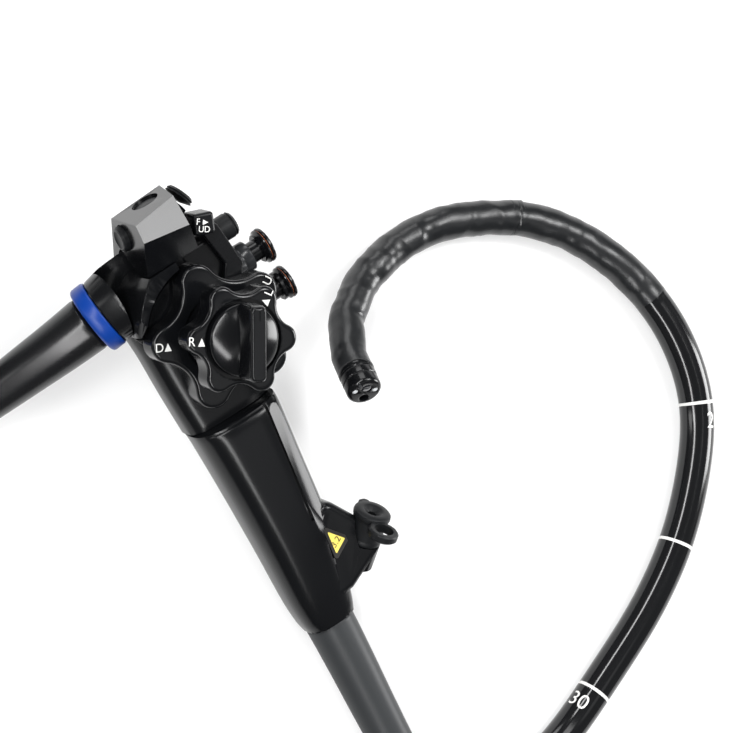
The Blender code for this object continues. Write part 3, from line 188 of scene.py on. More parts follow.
def slab(name, outline, low, high, mat, matrix=None):
    # A flat outline in X and Y, from one height to another
    verts = [(x * mm, y * mm, z * mm) for z in (low, high) for x, y in outline]
    return meshPiece(name, verts, endFaces(2, len(outline)) + bandFaces(2, len(outline)), mat, False, matrix)


def loft(name, rings, mat, matrix=None):
    # Skin between rings of points, in millimetres, closed at both ends
    size = len(rings), len(rings[0])
    verts = [Vector(p) * mm for ring in rings for p in ring]
    return meshPiece(name, verts, bandFaces(*size) + endFaces(*size), mat, True, matrix)


def catmull(points, perSpan=16):
    line = [points[0] * 2 - points[1]] + list(points) + [points[-1] * 2 - points[-2]]
    dense = []
    for i in range(1, len(line) - 2):
        a, b, c, d = line[i - 1:i + 3]
        for k in range(perSpan):
            t = k / perSpan
            dense.append(0.5 * ((2 * b) + (c - a) * t + (2 * a - 5 * b + 4 * c - d) * t * t
                                + (3 * b - a - 3 * c + d) * t ** 3))
    dense.append(points[-1].copy())
    return dense


def evenPoints(line, spacing):
    lengths = [0.0]
    for a, b in zip(line[:-1], line[1:]):
        lengths.append(lengths[-1] + (b - a).length)
    count = max(2, round(lengths[-1] / spacing))
    result, i = [], 0
    for k in range(count + 1):
        want = lengths[-1] * k / count
        while i < len(lengths) - 2 and lengths[i + 1] < want:
            i += 1
        span = lengths[i + 1] - lengths[i]
        result.append(line[i].lerp(line[i + 1], (want - lengths[i]) / span if span else 0.0))
    return result


def relax(line, rounds):
    # Ease the joins of a route, its ends staying put
    for _ in range(rounds):
        eased = [(a + b * 2 + c) / 4 for a, b, c in zip(line[:-2], line[1:-1], line[2:])]
        line = [line[0]] + eased + [line[-1]]
    return line


def pathLength(line):
    return sum((b - a).length for a, b in zip(line[:-1], line[1:]))


def tubeFrames(path):
    # Place, side, up, direction and distance at each point of a path, turned as little as possible
    frames, up, done = [], Vector((0, 0, 1)), 0.0
    for i, place in enumerate(path):
        ahead = path[min(i + 1, len(path) - 1)] - path[max(i - 1, 0)]
        along = ahead.normalized()
        side = up.cross(along).normalized()
        up = along.cross(side)
        if i:
            done += (place - path[i - 1]).length
        frames.append((place, side, up.copy(), along, done))
    return frames


def tube(name, path, radiusAt, mats, sides=24, matAt=None):
    # Mesh tube along a path in metres. Its UV holds metres along it, and turns around it.
    frames = tubeFrames(path)
    verts, spots = [], []
    for place, side, up, along, done in frames:
        for k in range(sides):
            a = 2 * pi * k / sides
            verts.append(tuple(place + (side * cos(a) + up * sin(a)) * radiusAt(done, a)))
    for i in range(len(frames) - 1):
        d0, d1 = frames[i][4], frames[i + 1][4]
        for k in range(sides):
            u0, u1 = k / sides, (k + 1) / sides
            spots.append(((d0, u0), (d0, u1), (d1, u1), (d1, u0)))
    mesh = bpy.data.meshes.new(name)
    mesh.from_pydata(verts, [], bandFaces(len(frames), sides) + endFaces(len(frames), sides))
    layer = mesh.uv_layers.new(name="UVMap")
    for poly, spot in zip(mesh.polygons, spots):
        for corner, uv in zip(poly.loop_indices, spot):
            layer.data[corner].uv = uv
    for poly in mesh.polygons:
        poly.use_smooth = len(poly.vertices) == 4
    for mat in mats:
        mesh.materials.append(mat)
    if matAt:
        for i in range(len(frames) - 1):
            index = matAt((frames[i][4] + frames[i + 1][4]) / 2)
            for k in range(sides):
                mesh.polygons[i * sides + k].material_index = index
    return link(bpy.data.objects.new(name, mesh))


def ringOf(y, middle, half, back, front, power, count=64):
    # Rounded rectangle across the control section at one place along it
    ring = []
    centre, depth = (front + back) / 2, (front - back) / 2
    for i in range(count):
        a = 2 * pi * i / count
        x = middle + half * abs(cos(a)) ** (2 / power) * (1 if cos(a) >= 0 else -1)
        z = centre + depth * abs(sin(a)) ** (2 / power) * (1 if sin(a) >= 0 else -1)
        ring.append(Vector((x, y, z)))
    return ring


# Camera at the photograph's angle, with its square frame

camera = {"target": Vector((5.4, 15.1, 6.0)), "away": 1300.0, "frame": 733, "scale": 2.95,
          "right": Vector((0.79977, -0.50632, 0.32251)), "back": Vector((-0.30069, 0.12711, 0.94521))}


def makeCamera():
    scene = bpy.context.scene
    right, back = camera["right"].normalized(), camera["back"].normalized()
    up = back.cross(right).normalized()
    right = up.cross(back)
    lens = bpy.data.cameras.new("camera")
    lens.sensor_width = 36.0
    lens.lens = 36.0 * camera["scale"] * camera["away"] / camera["frame"]
    lens.clip_end = 20.0
    eye = link(bpy.data.objects.new("camera", lens))
    turn = Matrix((right, up, back)).transposed().to_4x4()
    eye.matrix_world = Matrix.Translation((camera["target"] + back * camera["away"]) * mm) @ turn
    scene.camera = eye
    scene.view_settings.view_transform = "Standard"


makeCamera()
print("camera set")


# Cords: their real lengths, on smooth routes that lie on the table

insertion = {"radius": 6.0, "coverRadius": 6.1, "length": 1.218, "low": 6.1, "rise": 12.1, "spacing": 0.0014,
             "coil": Vector((-167.6, -130.9, 6.1)), "coilRadius": 67.0, "coilTurns": 595 / 360}
leadRoute = [(-55.6, -107.4, 7.2), (-56.0, -113.9, 7.1), (-57.0, -122.9, 6.3), (-60.6, -137.9, 6.1),
             (-68.6, -156.9, 6.1), (-83.6, -175.9, 6.1), (-103.6, -188.9, 6.1), (-122.0, -194.9, 6.1),
             (-141.5, -196.8, 6.1)]
outRoute = [(-108.0, -96.2, 25.6), (-99.2, -103.2, 24.6), (-89.6, -109.7, 23.1), (-76.6, -118.4, 21.3),
            (-59.6, -126.2, 19.2), (-40.6, -131.3, 15.6), (-20.6, -132.1, 9.4), (-0.5, -128.8, 6.1),
            (15.4, -122.8, 6.1), (29.9, -117.0, 6.1), (43.8, -111.2, 6.1), (56.5, -104.5, 6.1),
            (68.5, -96.9, 6.1), (78.1, -89.0, 6.1), (86.5, -80.7, 6.1), (94.5, -71.7, 6.1),
            (101.5, -61.6, 6.1), (105.7, -50.7, 6.1), (108.1, -38.6, 6.1), (108.4, -26.2, 6.1),
            (106.4, -13.2, 6.15), (102.2, -0.2, 6.2), (95.9, 12.1, 6.2), (91.2, 18.8, 6.2),
            (85.2, 25.6, 6.2), (78.5, 30.6, 6.2)]


def spiral(centre, start, turns, radiusAt, heightAt, perTurn=24):
    # Points that turn clockwise seen from above, from a start angle
    points = []
    for i in range(int(turns * perTurn) + 1):
        t = i / perTurn
        a = start - 2 * pi * t
        points.append(Vector((centre.x + radiusAt(t) * cos(a), centre.y + radiusAt(t) * sin(a), heightAt(t))))
    return points


def insertionPath():
    coil = spiral(insertion["coil"], radians(-85), insertion["coilTurns"],
                  lambda t: insertion["coilRadius"], lambda t: insertion["low"] + insertion["rise"] * t)
    line = [Vector(p) for p in leadRoute] + coil + [Vector(p) for p in outRoute]
    return [p * mm for p in relax(evenPoints(catmull(line, 8), 3.0), 12)]


universal = {"radius": 6.25, "length": 1.50, "coil": Vector((-190.6, 145.1, 0.0)), "outer": 73.0,
             "turns": 3.5, "low": 6.35, "high": 18.75, "climb": (1.58, 1.92)}
cordRoute = [(-124.9, 74.47, 14.26), (-128.9, 74.1, 12.33), (-137.3, 73.25, 8.95), (-146.2, 72.6, 6.75),
             (-161.0, 72.15, 6.3), (-176.0, 72.1, 6.3)]
tailRoute = [(-176.0, 218.2, 18.6), (-161.0, 218.25, 18.4), (-147.3, 218.2, 18.3), (-138.6, 218.1, 18.1),
             (-131.2, 218.1, 18.0)]


def easeTo(x, low, high):
    t = min(1.0, max(0.0, (x - low) / (high - low)))
    return t * t * (3 - 2 * t)


def universalPath():
    half = universal["turns"] / 2
    coil = spiral(universal["coil"], radians(-90), universal["turns"],
                  lambda t: universal["outer"] - 2 * universal["radius"] * (half - abs(half - t)),
                  lambda t: universal["low"] + (universal["high"] - universal["low"])
                  * easeTo(t, *universal["climb"]))
    line = [Vector(p) for p in cordRoute] + coil[1:-1] + [Vector(p) for p in tailRoute]
    return [p * mm for p in relax(evenPoints(catmull(line, 8), 3.5), 10)]


insertionLine = insertionPath()
universalLine = universalPath()
print("insertion tube %.4f m, universal cord %.4f m" % (pathLength(insertionLine), pathLength(universalLine)))


# Materials: grain and smears are shader node groups, shared by the plastics and rubbers

def newGroup(name, inputs, outputs):
    group = bpy.data.node_groups.new(name, "ShaderNodeTree")
    for title, value in inputs.items():
        group.interface.new_socket(title, in_out="INPUT", socket_type="NodeSocketFloat").default_value = value
    for title, kind in outputs.items():
        group.interface.new_socket(title, in_out="OUTPUT", socket_type="NodeSocket" + kind)
    return group, group.nodes.new("NodeGroupInput"), group.nodes.new("NodeGroupOutput")


def newMaterial(name):
    mat = bpy.data.materials.new(name)
    mat.use_nodes = True
    tree = mat.node_tree
    return mat, tree.nodes, tree.links, tree.nodes["Principled BSDF"]


def setInputs(node, values):
    for title, value in values.items():
        node.inputs[title].default_value = value
    return node


def noiseNode(nodes, links, spot, values):
    node = setInputs(nodes.new("ShaderNodeTexNoise"), values)
    links.new(spot.outputs["Object"], node.inputs["Vector"])
    return node


def bumpNode(nodes, links, height, values):
    bump = setInputs(nodes.new("ShaderNodeBump"), values)
    links.new(height, bump.inputs["Height"])
    return bump


def mixColour(nodes, links, factor, a, b):
    mix = nodes.new("ShaderNodeMix")
    mix.data_type = "RGBA"
    links.new(factor, mix.inputs[0])
    mix.inputs[6].default_value = (*a, 1.0)
    mix.inputs[7].default_value = (*b, 1.0)
    return mix.outputs[2]


def mathNode(nodes, links, how, a, b=None, clamp=False):
    node = nodes.new("ShaderNodeMath")
    node.operation = how
    node.use_clamp = clamp
    for i, value in enumerate((a, b)):
        if isinstance(value, float):
            node.inputs[i].default_value = value
        elif value is not None:
            links.new(value, node.inputs[i])
    return node.outputs[0]


def makeGrain():
    # Fine moulded grain, and slow smears in the gloss
    group, start, end = newGroup(
        "grain", {"Grain Scale": 2500.0, "Grain Strength": 0.1, "Roughness": 0.3, "Smear": 0.05},
        {"Roughness": "Float", "Normal": "Vector", "Height": "Float"})
    nodes, links = group.nodes, group.links
    spot = nodes.new("ShaderNodeTexCoord")
    fine = noiseNode(nodes, links, spot, {"Detail": 3.0})
    links.new(start.outputs["Grain Scale"], fine.inputs["Scale"])
    slow = noiseNode(nodes, links, spot, {"Scale": 60.0, "Detail": 4.0})
    shift = mathNode(nodes, links, "SUBTRACT", slow.outputs["Fac"], 0.5)
    scaled = mathNode(nodes, links, "MULTIPLY", shift, start.outputs["Smear"])
    rough = mathNode(nodes, links, "ADD", scaled, start.outputs["Roughness"], True)
    links.new(rough, end.inputs["Roughness"])
    bump = bumpNode(nodes, links, fine.outputs["Fac"], {"Distance": 0.00005})
    links.new(start.outputs["Grain Strength"], bump.inputs["Strength"])
    links.new(bump.outputs["Normal"], end.inputs["Normal"])
    links.new(fine.outputs["Fac"], end.inputs["Height"])
    return group


grain = makeGrain()


def addGrain(nodes, links, shader, scale, strength, roughness, smear):
    part = nodes.new("ShaderNodeGroup")
    part.node_tree = grain
    setInputs(part, {"Grain Scale": scale, "Grain Strength": strength, "Roughness": roughness, "Smear": smear})
    links.new(part.outputs["Roughness"], shader.inputs["Roughness"])
    return part


def surface(name, colour, roughness, smear=0.06, scale=2500.0, strength=0.08, metallic=0.0, coat=0.0,
            specular=0.5, tint=0.12):
    # One material: a plain colour with a slow tint, grain and smears
    mat, nodes, links, shader = newMaterial(name)
    part = addGrain(nodes, links, shader, scale, strength, roughness, smear)
    links.new(part.outputs["Normal"], shader.inputs["Normal"])
    slow = noiseNode(nodes, links, nodes.new("ShaderNodeTexCoord"), {"Scale": 35.0})
    darker = tuple(c * (1 - tint) for c in colour)
    lighter = tuple(min(1.0, c * (1 + tint)) for c in colour)
    links.new(mixColour(nodes, links, slow.outputs["Fac"], darker, lighter), shader.inputs["Base Color"])
    setInputs(shader, {"Metallic": metallic, "Specular IOR Level": specular, "Coat Weight": coat,
                       "Coat Roughness": 0.08})
    return mat


look = {
    "gloss": surface("blackGloss", (0.0035, 0.0038, 0.0045), 0.17, 0.05, 1800.0, 0.03, specular=0.32),
    "satin": surface("blackSatin", (0.0045, 0.0048, 0.0055), 0.27, 0.06, 2200.0, 0.10, specular=0.18),
    "shell": surface("blackShell", (0.0040, 0.0043, 0.0050), 0.22, 0.06, 2200.0, 0.05, specular=0.24),
    "rubber": surface("blackRubber", (0.0070, 0.0076, 0.0085), 0.42, 0.10, 1600.0, 0.22, specular=0.20),
    "grey": surface("greyRubber", (0.0300, 0.0320, 0.0340), 0.42, 0.06, 1500.0, 0.16, specular=0.22),
    "blue": surface("bluePlastic", (0.0020, 0.0350, 0.2300), 0.34, 0.05, 1800.0, 0.05, specular=0.25),
    "steel": surface("steel", (0.50, 0.51, 0.53), 0.26, 0.10, 2600.0, 0.05, metallic=1.0),
    "darkSteel": surface("darkSteel", (0.020, 0.021, 0.023), 0.22, 0.10, 2600.0, 0.05, specular=0.35),
    "orange": surface("orangePlastic", (0.26, 0.060, 0.012), 0.40),
    "paint": surface("whitePaint", (0.72, 0.72, 0.70), 0.50, 0.02, 1500.0, 0.02, specular=0.3, tint=0.02),
    "yellow": surface("paleYellow", (0.78, 0.62, 0.12), 0.45, 0.02, 1500.0, 0.02, specular=0.3, tint=0.03),
    "ink": surface("darkInk", (0.012, 0.011, 0.010), 0.45),
    "glass": surface("lensGlass", (0.004, 0.005, 0.008), 0.03, 0.0, 900.0, 0.0, coat=1.0, specular=0.6),
    "guide": surface("lightGuide", (0.62, 0.64, 0.66), 0.12, 0.03, 900.0, 0.0, coat=1.0, specular=0.6),
    "cord": surface("cordSkin", (0.0045, 0.0048, 0.0055), 0.26, 0.06, 2200.0, 0.06, specular=0.45),
}

# Distances in metres along the tube. The steps back are from the tip's face.
wholeTube = pathLength(insertionLine)
tipPlace = wholeTube + 0.1125
stepPlace = tipPlace - 0.172
depthRings = [tipPlace - s for s in (0.212, 0.262, 0.322)]
ringHalf = 0.00055


def makeTubeSkin():
    # Glossy tube with white depth rings, read from the metres along it in the UV map
    mat, nodes, links, shader = newMaterial("tubeSkin")
    spot = nodes.new("ShaderNodeUVMap")
    split = nodes.new("ShaderNodeSeparateXYZ")
    links.new(spot.outputs["UV"], split.inputs[0])
    mask = None
    for place in depthRings:
        away = mathNode(nodes, links, "ABSOLUTE", mathNode(nodes, links, "SUBTRACT", split.outputs[0], place))
        ring = mathNode(nodes, links, "LESS_THAN", away, ringHalf)
        mask = ring if mask is None else mathNode(nodes, links, "MAXIMUM", mask, ring)
    links.new(mixColour(nodes, links, mask, (0.0050, 0.0053, 0.0060), (0.72, 0.72, 0.70)),
              shader.inputs["Base Color"])
    part = addGrain(nodes, links, shader, 900.0, 0.03, 0.13, 0.06)
    links.new(part.outputs["Normal"], shader.inputs["Normal"])
    setInputs(shader, {"Specular IOR Level": 0.45})
    return mat


def makeCoverSkin():
    # Thin rubber: fine grain over small creases, with painted shade: the colour darkens in the creases and
    # lightens on their ridges
    mat, nodes, links, shader = newMaterial("coverSkin")
    foldsAndShade = noiseNode(nodes, links, nodes.new("ShaderNodeTexCoord"),
                      {"Scale": 420.0, "Detail": 4.0, "Roughness": 0.6})
    part = addGrain(nodes, links, shader, 3000.0, 0.1, 0.32, 0.18)
    low = bumpNode(nodes, links, foldsAndShade.outputs["Fac"], {"Strength": 0.35, "Distance": 0.0002})
    high = bumpNode(nodes, links, part.outputs["Height"], {"Strength": 0.20, "Distance": 0.00004})
    links.new(low.outputs["Normal"], high.inputs["Normal"])
    links.new(high.outputs["Normal"], shader.inputs["Normal"])
    # Painted shade: the noise that sets the crease bump also darkens the colour in the hollows
    links.new(mixColour(nodes, links, foldsAndShade.outputs["Fac"], (0.0030, 0.0034, 0.0040), (0.0085, 0.0095, 0.0108)),
              shader.inputs["Base Color"])
    setInputs(shader, {"Specular IOR Level": 0.50})
    return mat


look["tube"] = makeTubeSkin()
look["cover"] = makeCoverSkin()


# Stage: pale floor that keeps the shadow, white to the camera, and soft lamps

stage = {"half": 3.0, "floor": 0.62, "glow": 0.34, "sky": 0.16}
white = (1.0, 1.0, 1.0, 1.0)


def makeStage():
    half = stage["half"]
    floor = meshPiece("floor", [(-half, -half, 0), (half, -half, 0), (half, half, 0), (-half, half, 0)],
                      [(0, 1, 2, 3)], None, False)
    mat, nodes, links, shader = newMaterial("paleFloor")
    setInputs(shader, {"Base Color": (*[stage["floor"]] * 3, 1.0), "Roughness": 0.9, "Specular IOR Level": 0.1,
                       "Emission Color": white})
    path = nodes.new("ShaderNodeLightPath")
    seen = mathNode(nodes, links, "MAXIMUM", path.outputs["Is Camera Ray"], path.outputs["Is Glossy Ray"])
    seen = mathNode(nodes, links, "MAXIMUM", seen, path.outputs["Is Transmission Ray"])
    links.new(mathNode(nodes, links, "MULTIPLY", seen, stage["glow"]), shader.inputs["Emission Strength"])
    floor.data.materials.append(mat)
    world = bpy.data.worlds.new("studio")
    bpy.context.scene.world = world
    world.use_nodes = True
    setInputs(world.node_tree.nodes["Background"], {"Color": white, "Strength": stage["sky"]})


# Lamps in metres and watts
lamps = {
    "rightLamp": {"place": (0.60, 0.08, 0.94), "aim": (-0.04, 0.08, 0.05), "size": (0.26, 0.30), "power": 3.8},
    "lowLamp": {"place": (0.93, -0.46, 0.27), "aim": (-0.04, 0.02, 0.03), "size": (0.42, 0.46), "power": 9.0},
    "frontLamp": {"place": (0.02, -0.52, 0.94), "aim": (-0.04, 0.06, 0.03), "size": (0.80, 0.30), "power": 0.5},
    "stripLamp": {"place": (-0.50, -0.08, 0.75), "aim": (0.0, 0.0, 0.02), "size": (0.95, 0.12), "power": 6.0},
    "topLamp": {"place": (-0.22, 0.42, 0.78), "aim": (0.0, 0.0, 0.02), "size": (0.62, 0.12), "power": 4.2},
    "overLamp": {"place": (0.50, 0.16, 0.86), "aim": (0.06, 0.04, 0.02), "size": (0.60, 0.50), "power": 3.6},
    "farLamp": {"place": (0.35, 0.92, 0.40), "aim": (0.02, 0.05, 0.03), "size": (0.50, 0.35), "power": 2.2},
    "leftLamp": {"place": (-0.86, 0.56, 0.42), "aim": (0.02, 0.02, 0.02), "size": (0.16, 0.50), "power": 1.0},
}


def makeLamp(name, values):
    light = bpy.data.lights.new(name, "AREA")
    light.shape = "RECTANGLE"
    light.size, light.size_y = values["size"]
    light.energy = values["power"]
    obj = link(bpy.data.objects.new(name, light))
    turn = (Vector(values["aim"]) - Vector(values["place"])).to_track_quat("-Z", "Y")
    obj.matrix_world = Matrix.Translation(values["place"]) @ turn.to_matrix().to_4x4()


makeStage()
for name, values in lamps.items():
    makeLamp(name, values)
print("stage set")


# Rubber cover: slack creases that run across it

crease = {"depth": 0.38, "fine": 0.08, "length": 0.0062, "fineLength": 0.0031, "slack": 0.02}


def coverRadius(base, s, a):
    # Radius in metres at a distance s along the whole tube, and an angle around it
    wave = noise.noise(Vector((s / crease["length"], 0.55 * cos(a), 0.55 * sin(a))))
    small = noise.noise(Vector((s / crease["fineLength"], 1.4 * cos(a) + 7.0, 1.4 * sin(a))))
    ridge = 1.0 - abs(wave) * 2.2
    return (base + crease["depth"] * (ridge - 0.75) * 0.8 + crease["fine"] * small) * mm


def tubeRadius(s, a):
    step = easeTo(s, stepPlace - 0.0006, stepPlace + 0.0006)
    plain = insertion["radius"] * mm
    if step <= 0.0:
        return plain
    return plain * (1 - step) + coverRadius(insertion["coverRadius"], s, a) * step


def makeInsertionTube():
    dense = evenPoints(insertionLine, insertion["spacing"])
    piece = tube("insertionTube", dense, tubeRadius, [look["tube"], look["cover"]], 40,
                 lambda s: 0 if s < stepPlace else 1)
    rideOn(piece, "body", "gloss black plastic",
           "insertion_tube", "insertion_tube_lead", "insertion_tube_coil", "passive_section")


def makeUniversalCord():
    dense = evenPoints(universalLine, 0.0025)
    piece = tube("universalCord", dense, lambda s, a: universal["radius"] * mm, [look["cord"]], 32)
    rideOn(piece, "body", "satin black plastic", "universal_cord", "universal_cord_coil", "universal_cord_tail")


# Bending section: the chain's joints, and one length of cover over each of them

chain = {"start": Vector((77.9, 31.0, 6.1)), "heading": radians(149.5), "roll": radians(60.0), "pitch": 8.0,
         "count": 12, "sideways": [radians(a) for a in (8.8, 9.8, 13.0, 17.6, 20.6, 15.2)],
         "upward": [radians(a) for a in (-4.4, -12.2, -10.3, -7.3, -4.1, -9.7)], "shoulder": 8.0, "bend": 2.4}


def chainFrames():
    place = chain["start"].copy()
    along = Vector((cos(chain["heading"]), sin(chain["heading"]), 0.0))
    up = Vector((0, 0, cos(chain["roll"]))) - Vector((0, 0, 1)).cross(along) * sin(chain["roll"])
    frames = [(place.copy(), along.copy(), up.copy())]
    place += along * chain["pitch"]
    for i in range(chain["count"]):
        side = up.cross(along)
        if i % 2 == 0:
            a = chain["upward"][i // 2]
            along, up = along * cos(a) + up * sin(a), up * cos(a) - along * sin(a)
        else:
            a = chain["sideways"][i // 2]
            along = along * cos(a) + side * sin(a)
        frames.append((place.copy(), along.copy(), up.copy()))
        place = place + along * chain["pitch"]
    return frames


chainLine = chainFrames()


def makeCover():
    start, along, _ = chainLine[0]
    joints = [f[0] for f in chainLine[1:]]
    end = joints[-1] + chainLine[-1][1] * (chain["shoulder"] - 0.4)
    dense = evenPoints(catmull([start + along * 0.4] + joints + [end], 24), 0.55)
    frames = tubeFrames(dense)
    # Each point of the curve belongs to the joint that it is nearest to
    edges = [0]
    for a, b in zip(joints[:-1], joints[1:]):
        edges.append(min(range(len(dense)), key=lambda k: (dense[k] - (a + b) / 2).length))
    edges.append(len(dense) - 1)
    sides, last = 40, len(joints) - 1
    for i, joint in enumerate(joints):
        rows = frames[edges[i]:edges[i + 1] + 1]
        verts = []
        for place, side, up, _, done in rows:
            for k in range(sides):
                a = 2 * pi * k / sides
                r = coverRadius(insertion["coverRadius"] - crease["slack"], wholeTube + done * mm, a)
                verts.append(place * mm + (side * cos(a) + up * sin(a)) * r)
        piece = meshPiece("cover_%02d" % (i + 1), verts, bandFaces(len(rows), sides), look["cover"])
        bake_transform(piece)
        if i == 0:
            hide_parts("bending_cover")


def makeBaseBand():
    # The cover runs on over the binding at the tube's end
    start, along, _ = chainLine[0]
    path = [(start + along * t) * mm for t in (-3.2, -2.6, -2.0, -1.4, -0.8, -0.2, 0.4, 0.9)]
    piece = tube("baseBand", path, lambda s, a: coverRadius(
        insertion["coverRadius"] - crease["slack"], wholeTube - 0.0032 + s, a) + 0.03 * mm, [look["cover"]], 40)
    rideOn(piece, "body", "black rubber", "base_binding")


def tipMatrix():
    # The face keeps its place while the chain's joints lie rolled
    place, along, up = chainLine[-1]
    turn = Matrix((along, up.cross(along), up)).transposed().to_4x4()
    return (Matrix.Translation(place * mm) @ turn @ Matrix.Rotation(-chain["roll"], 4, "X")
            @ Matrix.Rotation(pi / 2, 4, "Y"))


tip = {
    "body": [(0, 16.0), (4.75, 16.0), (5.35, 15.78), (5.85, 15.2), (6.0, 14.4), (6.02, 11.9), (5.86, 11.7),
             (5.86, 11.35), (6.06, 11.15), (6.1, 9.0), (5.9, 8.75), (5.9, 8.45), (6.1, 8.2), (6.1, 7.9),
             (4.0, 7.9), (0, 7.9)],
    "binding": [(5.4, 7.75), (6.12, 7.75), (6.2, 7.5), (6.2, 6.6), (6.1, 6.2), (5.4, 6.2)],
    "nozzle": [(0, 16.75), (0.4, 16.7), (0.72, 16.4), (0.8, 16.0), (0.8, 14.9), (0, 14.9)],
    # Place across the face, radius and depth of each opening
    "openings": {"lens": (-1.7, -0.6, 1.9, 1.2), "left": (-2.0, 2.9, 1.1, 1.2), "right": (0.9, -3.6, 1.1, 1.2),
                 "nozzle": (-2.1, -3.9, 0.95, 1.2), "channel": (2.4, 1.2, 1.6, 6.0)},
    # Piece, solid, radius and material of the glass in an opening
    "glass": {"lens": ("lensFront", "tip_lens", 1.82, "glass"),
              "left": ("guideFrontLeft", "light_guide_left", 1.02, "guide"),
              "right": ("guideFrontRight", "light_guide_right", 1.02, "guide")},
}


def makeTip():
    # Glossy distal end: bound edge, stepped collar, rounded rim and the face with its openings
    across = tipMatrix()
    spots = {title: across @ moved(x, y, 0) for title, (x, y, _, _) in tip["openings"].items()}
    body = turned("tipBody", tip["body"], look["gloss"], across, 72)
    for title, (_, _, r, depth) in tip["openings"].items():
        cut(body, turned("tool", [(0, 17.0), (r, 17.0), (r, 16.0 - depth), (0, 16.0 - depth)], None,
                         spots[title], 40))
    flatten(soften(body, 0.12, 2, 40))
    rideOn(body, "tip", "gloss black plastic", "tip_body")
    band = turned("tipBinding", tip["binding"], look["gloss"], across, 64)
    rideOn(band, "tip", "gloss black plastic", "tip_binding")
    for spot, (title, node, r, mat) in tip["glass"].items():
        dome = turned(title, [(0, 16.0), (r * 0.5, 15.96), (r * 0.85, 15.85), (r, 15.7), (r, 14.9), (0, 14.9)],
                      look[mat], spots[spot], 40)
        rideOn(dome, "tip", "lens glass", node)
    nozzle = turned("nozzleFront", tip["nozzle"], look["darkSteel"], spots["nozzle"], 32)
    rideOn(nozzle, "tip", "steel", "tip_nozzle")


makeInsertionTube()
makeUniversalCord()
makeCover()
makeBaseBand()
makeTip()
print("cords, cover and tip made")


# Control section, in its own frame: X to the valves, Y to the head, Z along the knobs

def boxTool(low, high, matrix, width=0.0):
    outline = [(low[0], low[1]), (high[0], low[1]), (high[0], high[1]), (low[0], high[1])]
    tool = slab("tool", outline, low[2], high[2], None)
    if width:
        soften(tool, width, 3)
    tool.data.transform(matrix)
    return tool


def facetBlock(name, low, high, planes, mat):
    # Block trimmed by planes, each a point and the way it faces
    shape = bmesh.new()
    bmesh.ops.create_cube(shape, size=1.0)
    for v in shape.verts:
        v.co = Vector([(low[i] if v.co[i] < 0 else high[i]) for i in range(3)])
    for place, facing in planes:
        every = list(shape.verts) + list(shape.edges) + list(shape.faces)
        bmesh.ops.bisect_plane(shape, geom=every, dist=1e-5, plane_co=Vector(place), plane_no=Vector(facing),
                               clear_outer=True)
        bmesh.ops.holes_fill(shape, edges=[e for e in shape.edges if e.is_boundary])
    bmesh.ops.dissolve_limit(shape, angle_limit=0.01, verts=shape.verts, edges=shape.edges)
    bmesh.ops.recalc_face_normals(shape, faces=shape.faces)
    bmesh.ops.scale(shape, vec=Vector((mm, mm, mm)), verts=shape.verts)
    mesh = bpy.data.meshes.new(name)
    shape.to_mesh(mesh)
    shape.free()
    mesh.materials.append(mat)
    mesh.transform(bodyMatrix)
    return link(bpy.data.objects.new(name, mesh))


def rodTool(radius, low, high, matrix, steps=64):
    return turned("tool", [(0, high), (radius, high), (radius, low), (0, low)], None, matrix, steps)


def sections(stations, spacing, power):
    # Smooth sections through a few chosen ones: (y, middle, half width, back, front)
    line = [Vector((s[0], s[1], s[2])) for s in stations]
    depth = [Vector((s[0], s[3], s[4])) for s in stations]
    rings = []
    for a, b in zip(catmull(line, spacing), catmull(depth, spacing)):
        rings.append(ringOf(a.x, a.y, a.z, b.y, b.z, power))
    return rings


# The bores take the valves and the front switch: place along the head, height and radius
outlet = {"place": (-29.6, 21.8, 0.0), "axis": (-0.935, -0.188, -0.302)}
housing = {"inside": 25.9, "ledge": 22.0, "room": 16.0, "hole": 7.6,
           "bores": [(12.4, 0.0, 5.3), (-2.2, 0.0, 5.3), (24.4, -0.9, 4.4)]}


def neckTool(spread):
    # Outlet neck, or with a spread the room around it
    g = spread
    return turned("tool", [
        (0, 2.6 + g), (9.8 + g, 2.6 + g), (9.8 + g, -2.9 - g), (11.2 + g, -2.9 - g),
        (11.5 + g, -3.3 - g), (12.4 + g, -9.0), (12.9 + g, -19.0 - g), (0, -19.0 - g),
    ], None, alongAxis(outlet["place"], outlet["axis"]), 72)


def makeGuard():
    # Wall around the upper left of the knob, running into the outlet neck
    levels = [
        (-13.6, [(-13.0, 28.6), (-18.0, 25.0), (-21.0, 20.0), (-21.5, 13.0), (-19.0, 4.0)]),
        (-4.0, [(-13.7, 28.6), (-20.0, 24.6), (-23.0, 18.5), (-23.0, 11.0), (-19.2, 3.0)]),
        (6.0, [(-14.1, 28.6), (-20.8, 24.4), (-24.2, 17.2), (-23.8, 11.2), (-19.4, 2.0)]),
        (12.0, [(-13.9, 28.6), (-18.6, 25.2), (-22.6, 19.6), (-24.2, 14.6), (-23.4, 11.6)]),
        (17.2, [(-13.6, 28.6), (-16.9, 25.3), (-20.4, 21.0), (-22.4, 18.0), (-21.6, 16.2)]),
        (18.0, [(-12.9, 28.6), (-16.2, 24.9), (-19.8, 20.6), (-21.8, 17.6), (-21.2, 16.4)])]
    rings = []
    for z, outer in levels:
        rings.append([Vector((x, y, z)) for x, y in outer + [(-8.0, 6.0), (-2.0, 16.0), (-3.0, 28.6)]])
    return loft("guard", rings, None, bodyMatrix)


